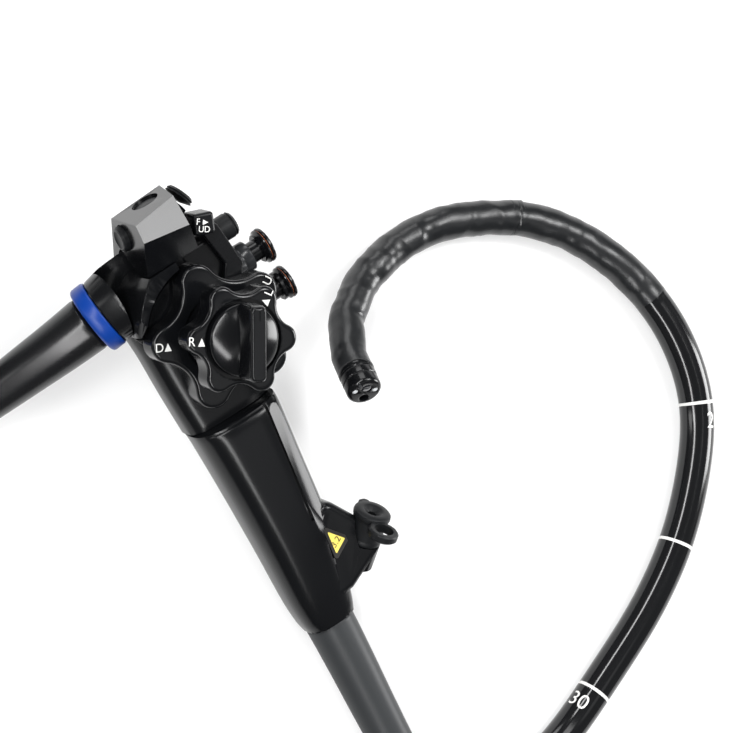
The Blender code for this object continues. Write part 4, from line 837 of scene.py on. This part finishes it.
def makeHousing():
    piece = loft("controlHousing", sections([
        (-29.7, -5.0, 15.6, -14.0, 5.0), (-15.0, -3.0, 18.6, -14.0, 5.0), (0.0, -3.0, 19.2, -14.0, 5.0),
        (11.0, -3.3, 19.6, -14.0, 5.0), (21.0, -3.2, 17.2, -14.0, 5.0), (27.0, -2.4, 13.6, -14.0, 5.0),
    ], 6, 3.4), look["shell"], bodyMatrix)
    cut(piece, boxTool((2.0, -9.2, -8.0), (19.0, 26.6, 4.98), bodyMatrix, 2.0), "UNION")
    cut(piece, rodTool(5.5, 9.4, 18.97, alongAxis((0, 24.4, -0.9), (1, 0, 0))), "UNION")
    cut(piece, cut(neckTool(0.0), boxTool((-24.5, -20.0, -2.0), (30.0, 60.0, 40.0), bodyMatrix)), "UNION")
    cut(piece, makeGuard(), "UNION")
    cut(piece, rodTool(housing["inside"], 5.2, 36.0, bodyMatrix, 120))
    cut(piece, turned("tool", [(0, 19.0), (34.6, 19.0), (25.0, 16.4), (0, 16.4)], None, bodyMatrix, 120))
    ledge = []
    for r, angles in ((housing["ledge"], range(96, 171, 3)), (housing["room"] + 0.4, range(168, 95, -3))):
        ledge += [(r * cos(radians(a)), r * sin(radians(a))) for a in angles]
    cut(piece, slab("ledge", ledge, 3.0, 8.0, None, bodyMatrix), "UNION")
    cut(piece, rodTool(housing["room"], 5.01, 36.0, bodyMatrix))
    for y, z, r in housing["bores"]:
        cut(piece, rodTool(r, 14.0, 24.0, alongAxis((0, y, z), (1, 0, 0)), 48))
    cut(piece, rodTool(housing["hole"], -2.0, 20.0, bodyMatrix, 48))
    flatten(soften(piece, 0.4, 2, 38))
    rideOn(piece, "body", "satin black plastic", "control_housing")


grip = {"facet": (3.4, -27.6, 12.6), "facetTurn": radians(-4.9), "facetTilt": radians(29.0), "groove": 0.55,
        "branch": [(-4.0, -78.0), (6.1, -70.5), (9.0, -73.0), (15.2, -83.0), (18.4, -94.0), (16.4, -96.0),
                   (2.2, -102.6), (-6.0, -103.0)]}
port = {"place": (13.9, -91.7, 5.0), "axis": (0.55, 0.72, 0.40), "height": 11.9, "loopTurn": radians(94.0),
        "loopReach": 10.2, "earReach": -6.2}


def makeGrip():
    piece = loft("gripShell", sections([
        (-110.3, -8.0, 8.8, -8.8, 8.8), (-106.0, -7.8, 9.9, -10.0, 10.0), (-97.0, -7.2, 11.2, -11.2, 11.2),
        (-77.0, -5.8, 12.9, -12.4, 12.4), (-52.0, -5.3, 14.3, -12.9, 13.1), (-34.0, -5.0, 15.5, -13.4, 13.2),
        (-30.0, -5.0, 15.7, -14.0, 11.9)], 6, 2.9), look["shell"], bodyMatrix)
    # Flat facet along the right of the front, with a groove at its left edge
    turn = moved(*grip["facet"]) @ Matrix.Rotation(grip["facetTurn"], 4, "Z")
    facet = bodyMatrix @ turn @ Matrix.Rotation(grip["facetTilt"], 4, "Y")
    cut(piece, boxTool((0.0, -52.0, 0.0), (24.0, 12.0, 12.0), facet))
    cut(piece, boxTool((-grip["groove"], -46.0, -1.6), (grip["groove"], 12.0, 6.0), bodyMatrix @ turn))
    branch = slab("branch", grip["branch"], -6.8, 10.6, None)
    soften(branch, 2.6, 4, 25)
    branch.data.transform(bodyMatrix)
    cut(piece, branch, "UNION")
    seat = alongAxis(port["place"], port["axis"])
    cut(piece, rodTool(6.1, -9.0, 0.0, seat), "UNION")
    cut(piece, rodTool(6.9, 0.0, 20.0, seat))
    cut(piece, rodTool(2.8, -6.0, 2.0, seat, 32))
    flatten(soften(piece, 0.45, 2, 40))
    rideOn(piece, "body", "satin black plastic", "grip_shell")


def makePort():
    matrix = alongAxis(port["place"], port["axis"])
    top = port["height"]
    cap = turned("portCap", [
        (1.45, top - 1.6), (2.4, top - 0.9), (3.2, top - 0.35), (3.8, top), (5.6, top - 0.1), (6.35, top - 0.7),
        (6.5, top - 1.7), (6.3, top - 2.6), (5.95, top - 3.0), (5.8, 2.2), (6.0, 1.7), (6.15, 0.9), (6.0, 0.3),
        (3.7, 0.3), (3.7, 8.9), (1.45, 8.9),
    ], look["rubber"], matrix, 64)

    def aside(reach):
        return matrix @ moved(reach * cos(port["loopTurn"]), reach * sin(port["loopTurn"]), 0)

    # Finger loop on one side, a small ear on the other
    loop, ear = aside(port["loopReach"]), aside(port["earReach"])
    cut(cap, turned("tool", [(0, top - 1.2), (4.6, top - 1.2), (5.2, top - 1.8), (5.2, top - 3.6),
                             (4.6, top - 4.2), (0, top - 4.2)], None, loop, 56), "UNION")
    cut(cap, turned("tool", [(0, top - 0.6), (1.6, top - 0.6), (2.3, top - 1.2), (2.3, top - 2.6),
                             (1.6, top - 3.2), (0, top - 3.2)], None, ear, 32), "UNION")
    cut(cap, rodTool(3.3, top - 9.0, top + 2.0, loop, 48))
    flatten(soften(cap, 0.3, 3, 38))
    rideOn(cap, "body", "black rubber", "port_cap")
    neck = turned("channelPort", [(1.6, 8.6), (2.9, 8.6), (3.4, 8.0), (3.4, 6.6), (2.5, 6.0), (2.5, -5.6),
                                  (1.6, -5.6)], look["steel"], matrix, 40)
    rideOn(neck, "body", "steel", "channel_port")


# Remote switches: seat, axis outwards, radius, height of the cap and of its underside
switches = {
    "top": {"seat": (-0.2, 48.6, 8.5), "axis": (-0.0686, 0.9975, 0.0203), "radius": 4.4, "rise": -0.5,
            "low": -1.6},
    "left": {"seat": (-11.9, 41.9, 8.0), "axis": (-0.991, 0.135, 0), "radius": 4.3, "rise": 1.9, "low": -1.6},
    "right": {"seat": (7.6, 42.2, 6.5), "axis": (0.91, 0.41, 0), "radius": 4.9, "rise": 5.6, "low": 2.65},
    "front": {"seat": (19.0, 24.4, -0.9), "axis": (1, 0, 0), "radius": 4.3, "rise": 7.2, "low": -2.4},
}
box = {"low": (-14.5, 28.9, -13.2), "high": (10.0, 51.0, 28.4), "edge": 0.9, "boss": (4.7, -4.0, 1.4)}


def switchSeat(which):
    return alongAxis(switches[which]["seat"], switches[which]["axis"])


def makeSwitchBox():
    piece = facetBlock("switchBox", box["low"], box["high"], [
        ((-11.0, 48.0, 0.0), (-0.991, 0.135, 0.0)),         # left side
        ((-11.0, 47.7, 23.5), (-0.0686, 0.9975, 0.0203)),   # top
        ((-11.0, 47.7, 23.5), (0.157, 0.265, 0.951)),       # slanted front
        ((-11.0, 41.6, 25.2), (-0.002, -0.541, 0.841)),     # below it, to the seam
        ((0.0, 48.2, 2.3), (0.0, 0.608, -0.793)),           # sloping back
        ((0.0, 30.0, -12.9), (0.0, 0.0, -1.0)),             # back
        ((8.8, 40.0, 0.0), (0.988, 0.0, 0.157)),            # right side
        ((5.6, 49.0, 20.4), (0.900, 0.250, 0.360)),         # corner of top and right side
    ], look["gloss"])
    cut(piece, rodTool(*box["boss"], switchSeat("right"), 48), "UNION")
    soften(piece, box["edge"], 3, 20)
    cut(piece, neckTool(0.3))
    for which in ("top", "left"):
        cut(piece, rodTool(switches[which]["radius"] + 0.35, -3.0, 6.0, switchSeat(which), 48))
    flatten(piece, 30)
    rideOn(piece, "body", "gloss black plastic", "switch_box")


def makeSwitches():
    for which, values in switches.items():
        r, rise, low = values["radius"], values["rise"], values["low"]
        if which == "top":
            profile = [(0, rise), (r * 0.55, rise - 0.1), (r - 0.35, rise - 0.35), (r, rise - 0.8)]
        elif which == "left":
            profile = [(0, rise - 0.5), (r * 0.6, rise - 0.4), (r * 0.75, rise), (r - 0.5, rise - 0.15),
                       (r, rise - 0.8)]
        else:
            profile = [(0, rise - 0.3), (r * 0.55, rise - 0.25), (r * 0.62, rise), (r - 0.8, rise - 0.1),
                       (r - 0.1, rise - 0.9), (r - 0.45, rise - 1.3), (r, rise - 1.8)]
        # The right one's underside slopes in, so that it clears the box's corner
        profile += [(r, low + 1.12), (1.8, low), (0, low)] if which == "right" else [(r, low), (0, low)]
        matrix = switchSeat(which)
        piece = turned("remoteSwitch" + which.capitalize(), profile, look["rubber"], matrix, 56)
        if which != "top":
            # Knurled skirt
            for v in piece.data.vertices:
                q = matrix.inverted() @ v.co
                if hypot(q.x, q.y) > (r - 0.9) * mm and q.z > 0.3 * mm:
                    ridge = int(degrees(atan2(q.y, q.x)) / 360 * 28 * 2) % 2
                    wave = 1.0 + 0.018 * (1 if ridge else -1)
                    v.co = matrix @ Vector((q.x * wave, q.y * wave, q.z))
        rideOn(piece, which + "_button", "black rubber", "remote_switch_" + which)


valves = {"suction": {"title": "suction", "place": 12.4, "radius": 6.1, "height": 32.9},
          "air_water": {"title": "airWater", "place": -2.2, "radius": 5.8, "height": 33.8}}


def makeValves():
    for stem, values in valves.items():
        matrix = alongAxis((0, values["place"], 0), (1, 0, 0))
        title, r, h = values["title"], values["radius"], values["height"]
        sleeve = turned(title + "Cylinder", [
            (3.9, 25.4), (4.9, 25.4), (5.2, 25.1), (5.25, 22.4), (5.05, 22.1), (5.05, 21.6), (5.25, 21.3),
            (5.25, 14.9), (3.9, 14.9)], look["darkSteel"], matrix, 64)
        rideOn(sleeve, "body", "steel", stem + "_cylinder")
        cap = turned(title + "Valve", [
            (0, h - 0.35), (r * 0.5, h - 0.3), (r * 0.6, h), (r - 0.9, h), (r - 0.2, h - 0.3), (r, h - 0.75),
            (r, h - 1.2), (r - 0.25, h - 1.45), (r - 0.7, h - 1.5), (r - 0.7, h - 1.7), (r - 0.25, h - 1.75),
            (r - 0.1, h - 2.0), (r - 0.2, h - 2.4), (5.1, h - 2.7), (4.7, h - 3.1), (5.05, h - 3.5),
            (5.05, 29.4), (4.7, 29.1), (3.6, 29.1), (3.6, 18.6), (0, 18.6)], look["gloss"], matrix, 64)
        rideOn(cap, stem + "_button", "gloss black plastic", stem + "_valve")
        ring = turned(title + "Band", [(r - 0.8, h - 1.52), (r - 0.42, h - 1.52), (r - 0.42, h - 1.68),
                                       (r - 0.8, h - 1.68)], look["orange"], matrix, 56)
        rideOn(ring, stem + "_button", "gloss black plastic")


# Knobs: lobes joined by scallops

# Lobes, heights, hub below (radius, from), recess above (radius, from, to) and bore (radius, from, to)
knobs = {
    "ud": {"title": "udKnob", "who": "up_down", "lobes": 5, "radius": 24.8, "lobe": 6.0, "scallop": 12.0,
           "first": 16.5, "low": 8.55, "high": 17.95, "crown": 0.3, "hub": None, "recess": (13.5, 16.7, 30.0),
           "bore": (6.0, 0.0, 30.0)},
    "rl": {"title": "rlKnob", "who": "right_left", "lobes": 6, "radius": 19.0, "lobe": 4.5, "scallop": 7.5,
           "first": 30.0, "low": 24.75, "high": 34.35, "crown": 0.25, "hub": (9.0, 18.6),
           "recess": (13.2, 32.55, 40.0), "bore": (4.3, 10.0, 40.0)}}
knobEdge = 1.3


def lobedOutline(k, inset=0.0, steps=14):
    half = pi / k["lobes"]
    reach = k["radius"] - k["lobe"]
    lobe, scallop = k["lobe"] - inset, k["scallop"] + inset
    both = k["lobe"] + k["scallop"]
    hollow = reach * cos(half) + sqrt(both ** 2 - (reach * sin(half)) ** 2)
    points = []
    for n in range(k["lobes"]):
        a = radians(k["first"]) + 2 * half * n
        c = Vector((reach * cos(a), reach * sin(a)))
        d = Vector((hollow * cos(a + half), hollow * sin(a + half)))
        turn = (atan2((d - c).y, (d - c).x) - a + pi) % (2 * pi) - pi
        for i in range(steps + 1):
            b = a - turn + 2 * turn * i / steps
            points.append((c.x + lobe * cos(b), c.y + lobe * sin(b)))
        for i in range(1, steps):
            b = a + half + pi + (turn - half) * (1 - 2 * i / steps)
            points.append((d.x + scallop * cos(b), d.y + scallop * sin(b)))
    return points


def roundedProfile(low, high, edge, steps=5):
    # Insets and heights of a rounded edge above and below
    rows = []
    for i in range(steps + 1):
        a = pi / 2 * i / steps
        rows.append((edge * (1 - sin(a)), low + edge * (1 - cos(a))))
    rows += [(inset, high + low - z) for inset, z in reversed(rows)]
    return rows


def makeKnob(k):
    rings = []
    for inset, z in roundedProfile(k["low"], k["high"], knobEdge):
        rings.append([Vector((x, y, z)) for x, y in lobedOutline(k, inset)])
    rim = rings[-1]
    for share in (0.95, 0.88, 0.80, 0.72, 0.64):
        rings.append([Vector((p.x * share, p.y * share, p.z)) for p in rim])
    # The front face falls slightly towards the lobes' ends
    half = (k["low"] + k["high"]) / 2
    for ring in rings:
        for p in ring:
            if p.z > half:
                away = max(0.0, hypot(p.x, p.y) / k["radius"] - 0.66) / 0.34
                p.z -= k["crown"] * away * away
    piece = loft(k["title"], rings, look["gloss"], bodyMatrix)
    if k["hub"]:
        cut(piece, rodTool(*k["hub"], k["low"] + 1.0, bodyMatrix), "UNION")
    cut(piece, rodTool(*k["recess"], bodyMatrix, 72))
    cut(piece, rodTool(*k["bore"], bodyMatrix, 48))
    flatten(soften(piece, 0.4, 3, 45))
    return piece


def makeKnobs():
    for stem, k in knobs.items():
        rideOn(makeKnob(k), k["who"], "gloss black plastic", stem + "_knob")


brake = {"radius": 12.0, "dome": 22.0, "low": 32.85, "high": 39.05, "bar": (24.6, 5.6, 8.6), "corner": 1.6,
         "turn": radians(62.0)}


def makeBrake():
    low, high, r, dome = brake["low"], brake["high"], brake["radius"], brake["dome"]
    length, width, height = brake["bar"]
    corner, top = brake["corner"], high + height
    profile = [(t, high - dome + sqrt(dome ** 2 - t * t)) for t in [r * k / 12 for k in range(12)]]
    edge = profile[-1][1]
    profile += [(r - 0.35, edge - 0.4), (r, edge - 0.9), (r, low + 0.3), (r - 0.3, low), (0, low)]
    piece = turned("rlBrakeKnob", profile, look["gloss"], bodyMatrix, 96)
    # Bar handle with rounded ends, drawn in towards its top, and a small slot in it
    turn = bodyMatrix @ Matrix.Rotation(brake["turn"], 4, "Z")
    outline = []
    for i in range(4):
        cx = (length / 2 - corner) * (1 if i in (0, 3) else -1)
        cy = (width / 2 - corner) * (1 if i in (0, 1) else -1)
        for j in range(7):
            a = pi / 2 * (i + j / 6)
            outline.append((cx + corner * cos(a), cy + corner * sin(a)))
    rings = []
    for inset, z in [(0.0, high - 2.0), (-0.15, high + 1.0), (0.0, top - 2.2), (0.12, top - 1.2), (0.5, top - 0.4),
                     (1.1, top)]:
        rings.append([Vector((x - inset * (1 if x > 0 else -1), y - inset * 0.8 * (1 if y > 0 else -1), z))
                      for x, y in outline])
    cut(piece, loft("tool", rings, None, turn), "UNION")
    cut(piece, boxTool((-1.7, -0.32, top - 0.35), (1.7, 0.32, top + 1.0), turn @ moved(9.2, 0, 0)))
    soften(piece, 0.3, 3, 48)
    cut(piece, rodTool(2.5, 20.0, high - 1.0, bodyMatrix, 32))
    flatten(piece)
    rideOn(piece, "brake", "gloss black plastic", "rl_brake_knob")


lever = {"ring": 15.4, "hole": 7.3, "low": 5.3, "high": 7.9, "tab": (12.3, 33.7), "tabSize": (7.2, 7.2),
         "tabTurn": radians(70.0), "tabTop": 15.0,
         "arm": [(9.5, 8.5), (13.5, 4.0), (20.4, 13.6), (18.4, 29.0), (14.6, 36.0), (11.4, 35.0), (14.6, 16.5)]}


def makeLever():
    low, high, ring, hole = lever["low"], lever["high"], lever["ring"], lever["hole"]
    piece = turned("udLockLever", [(hole, high), (14.8, high), (ring, high - 0.5), (ring, low), (hole, low)],
                   look["satin"], bodyMatrix, 96)
    arm = slab("tool", lever["arm"], low + 0.02, high - 0.02, None)
    soften(arm, 0.6, 3, 30)
    arm.data.transform(bodyMatrix)
    cut(piece, arm, "UNION")
    x, y = [size / 2 for size in lever["tabSize"]]
    place = bodyMatrix @ moved(*lever["tab"], 0) @ Matrix.Rotation(lever["tabTurn"], 4, "Z")
    cut(piece, boxTool((-x, -y, low + 0.01), (x, y, lever["tabTop"]), place, 1.1), "UNION")
    flatten(soften(piece, 0.25, 2, 45))
    rideOn(piece, "lock_lever", "satin black plastic", "ud_lock_lever")


# Boots: route, spacing along it, radius at the root and what the taper takes off it
cordBoot = {"radius": 9.5, "taper": 2.5, "spacing": 1.5,
            "route": [(-76.71, 80.07, 35.36), (-88.0, 78.6, 31.3), (-100.6, 77.2, 25.9), (-112.6, 75.8, 20.2),
                      (-124.6, 74.5, 14.4)]}
gripBoot = {"radius": 8.5, "taper": 1.4, "spacing": 1.4,
            "route": [(-52.4, -49.1, 8.8), (-52.4, -50.5, 8.52), (-52.7, -56.9, 8.43), (-53.4, -68.9, 8.15),
                      (-54.2, -80.9, 7.86), (-54.9, -92.9, 7.57), (-55.6, -107.0, 7.22)]}


def makeBoot(name, values, edge, mat, sides, slot, node):
    path = [p * mm for p in evenPoints(catmull([Vector(p) for p in values["route"]], 12), values["spacing"])]
    whole = pathLength(path)
    root, taper = values["radius"], values["taper"]
    boot = tube(name, path, lambda s, a: (root - taper * s / whole - edge(s, s / whole)) * mm, [look[mat]], sides)
    rideOn(boot, "body", slot, node)


def makeBoots():
    makeBoot("cordBoot", cordBoot, lambda s, share: 0.25 * easeTo(share, 0.94, 1.0)
             + 0.4 * (1 - easeTo(s, 0.0, 0.0008)), "cord", 48, "black rubber", "cord_boot")
    makeBoot("gripBoot", gripBoot, lambda s, share: 0.3 * easeTo(share, 0.95, 1.0), "grey", 56, "grey rubber",
             "grip_boot")


def makeBlueRing():
    matrix = alongAxis(outlet["place"], outlet["axis"])
    ring = turned("blueRing", [(10.1, 2.6), (11.2, 2.6), (11.75, 2.2), (12.0, 1.6), (12.0, -1.9), (11.7, -2.5),
                               (11.4, -2.6), (10.1, -2.6)], look["blue"], matrix, 96)
    rideOn(ring, "body", "blue plastic", "blue_ring")


def roundedCorners(points, share, radius, steps=6):
    # Polygon scaled about its middle, with rounded corners
    middle = sum((Vector(p) for p in points), Vector((0, 0))) / len(points)
    spots = [middle + (Vector(p) - middle) * share for p in points]
    outline = []
    for i, p in enumerate(spots):
        before, after = (spots[i - 1] - p).normalized(), (spots[(i + 1) % len(spots)] - p).normalized()
        half = before.angle(after) / 2
        centre = p + (before + after).normalized() * radius / sin(half)
        start, end = p + before * radius / tan(half), p + after * radius / tan(half)
        a, b = atan2((start - centre).y, (start - centre).x), atan2((end - centre).y, (end - centre).x)
        turn = (b - a + pi) % (2 * pi) - pi
        for k in range(steps + 1):
            angle = a + turn * k / steps
            outline.append((centre.x + radius * cos(angle), centre.y + radius * sin(angle)))
    return outline


def textMesh(name, text, size, mat, thick=0.0):
    # Letters about the origin, as a plain mesh
    curve = bpy.data.curves.new(name, "FONT")
    curve.body = text
    curve.size = size
    curve.align_x = curve.align_y = "CENTER"
    curve.extrude = thick / 2 * mm
    line = link(bpy.data.objects.new(name + "Line", curve))
    mesh = bpy.data.meshes.new_from_object(line.evaluated_get(bpy.context.evaluated_depsgraph_get()))
    bpy.data.objects.remove(line)
    mesh.materials.clear()
    mesh.materials.append(look[mat])
    return mesh


# Numbers of two depth rings: ring, turn around the tube. Height and distance before the ring in metres.
depthNumbers = {"depthTwenty": ("20", 0, 112.0), "depthThirty": ("30", 2, 18.0)}
numberShape = {"height": 0.0076, "before": 0.0064, "edge": 0.0007, "lift": 0.00004}


def makeDepthNumbers():
    # Printed around the tube
    frames = tubeFrames(evenPoints(insertionLine, insertion["spacing"]))
    radius = insertion["radius"] * mm
    for title, (text, ring, turn) in depthNumbers.items():
        mesh = textMesh(title, text, numberShape["height"], "paint")
        flat = bmesh.new()
        flat.from_mesh(mesh)
        bmesh.ops.triangulate(flat, faces=flat.faces)
        for _ in range(2):
            long = [e for e in flat.edges if e.calc_length() > numberShape["edge"]]
            bmesh.ops.subdivide_edges(flat, edges=long, cuts=1)
            bmesh.ops.triangulate(flat, faces=flat.faces)
        for v in flat.verts:
            ahead = depthRings[ring] - numberShape["before"] + v.co.y
            index = min(len(frames) - 2, max(0, int(ahead / frames[-1][4] * (len(frames) - 1))))
            share = (ahead - frames[index][4]) / (frames[index + 1][4] - frames[index][4])
            place, side, up = [a.lerp(b, share) for a, b in zip(frames[index][:3], frames[index + 1][:3])]
            angle = radians(turn) + v.co.x / radius
            v.co = place + (side * cos(angle) + up * sin(angle)) * (radius + numberShape["lift"])
        flat.to_mesh(mesh)
        flat.free()
        rideOn(link(bpy.data.objects.new(title, mesh)), "body", "gloss black plastic")


# Working marks: text or arrow, its height, place and turn, on three faces of the moving pieces
gloss, satin = "gloss black plastic", "satin black plastic"
markFaces = {"rl": ("right_left", gloss, knobs["rl"]["high"] + 0.02),
             "ud": ("up_down", gloss, knobs["ud"]["high"] + 0.02),
             "lever": ("lock_lever", satin, lever["tabTop"] + 0.02)}
marks = [("markR", "R", 2.9, "rl", -15.6, 8.5, -31), ("markRArrow", None, 2.4, "rl", -12.7, 6.7, -31),
         ("markL", "L", 2.9, "rl", 14.9, 8.7, 38), ("markLArrow", None, 2.4, "rl", 12.4, 6.8, 38),
         ("markD", "D", 2.9, "ud", -21.3, 7.3, -25), ("markDArrow", None, 2.4, "ud", -18.6, 6.1, -25),
         ("markU", "U", 2.9, "ud", 21.6, 7.0, 35),
         ("markF", "F", 2.1, "lever", 10.6, 35.4, -32), ("markFArrow", None, 1.7, "lever", 12.8, 34.0, -122),
         ("markUD", "UD", 2.0, "lever", 11.3, 32.2, -32)]
label = {"place": (3.6, -84.5, 11.05), "tilt": radians(7.0),
         "corners": [(-1.6, 5.5), (3.9, -1.2), (-2.4, -4.4)]}


def letters(name, text, height, matrix, who, slot, mat="paint"):
    mesh = textMesh(name, text, height * mm / 0.7, mat, 0.05)
    mesh.transform(matrix)
    rideOn(link(bpy.data.objects.new(name, mesh)), who, slot)


def makeMarks():
    for name, text, size, face, x, y, turn in marks:
        who, slot, z = markFaces[face]
        matrix = bodyMatrix @ moved(x, y, z) @ Matrix.Rotation(radians(turn), 4, "Z")
        if text:
            letters(name, text, size, matrix, who, slot)
        else:
            outline = [(-size * 0.5, -size * 0.55), (size * 0.5, -size * 0.55), (0, size * 0.55)]
            rideOn(slab(name, outline, -0.02, 0.03, look["paint"], matrix), who, slot)
    # Channel size on a pale triangle, let into the front of the grip
    slope = bodyMatrix @ moved(*label["place"]) @ Matrix.Rotation(label["tilt"], 4, "Y")
    for name, share, radius, top, mat in (("channelLabelBack", 1.35, 0.9, 0.03, "ink"),
                                          ("channelLabel", 0.85, 0.3, 0.06, "yellow")):
        outline = roundedCorners(label["corners"], share, radius)
        rideOn(slab(name, outline, -0.8, top, look[mat], slope), "body", satin)
    letters("channelSize", "3.2", 2.3, slope @ moved(-0.2, -0.2, 0.08) @ Matrix.Rotation(radians(25.0), 4, "Z"),
            "body", satin, "ink")


makeHousing()
makeGrip()
makePort()
makeSwitchBox()
makeSwitches()
makeValves()
print("shells, switches and valves made")
makeKnobs()
makeBrake()
makeLever()
makeBlueRing()
makeBoots()
makeMarks()
makeDepthNumbers()
print("knobs, lever, boots and marks made")
# Solids that show as they are, with their own finish
inner = {"rubber": ["head_seal", "connector_boot"], "satin": ["back_cover", "connector_housing"],
         "steel": ["spindle", "light_guide_pin", "air_pipe", "electrical_socket", "chassis_plate", "ud_shaft",
                   "rl_shaft", "ud_drum", "rl_drum", "bending_base"]
         + ["bending_link_%02d" % i for i in range(1, chain["count"])]}
for mat, nodes in inner.items():
    for node in nodes:
        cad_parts[node].data.materials.clear()
        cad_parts[node].data.materials.append(look[mat])
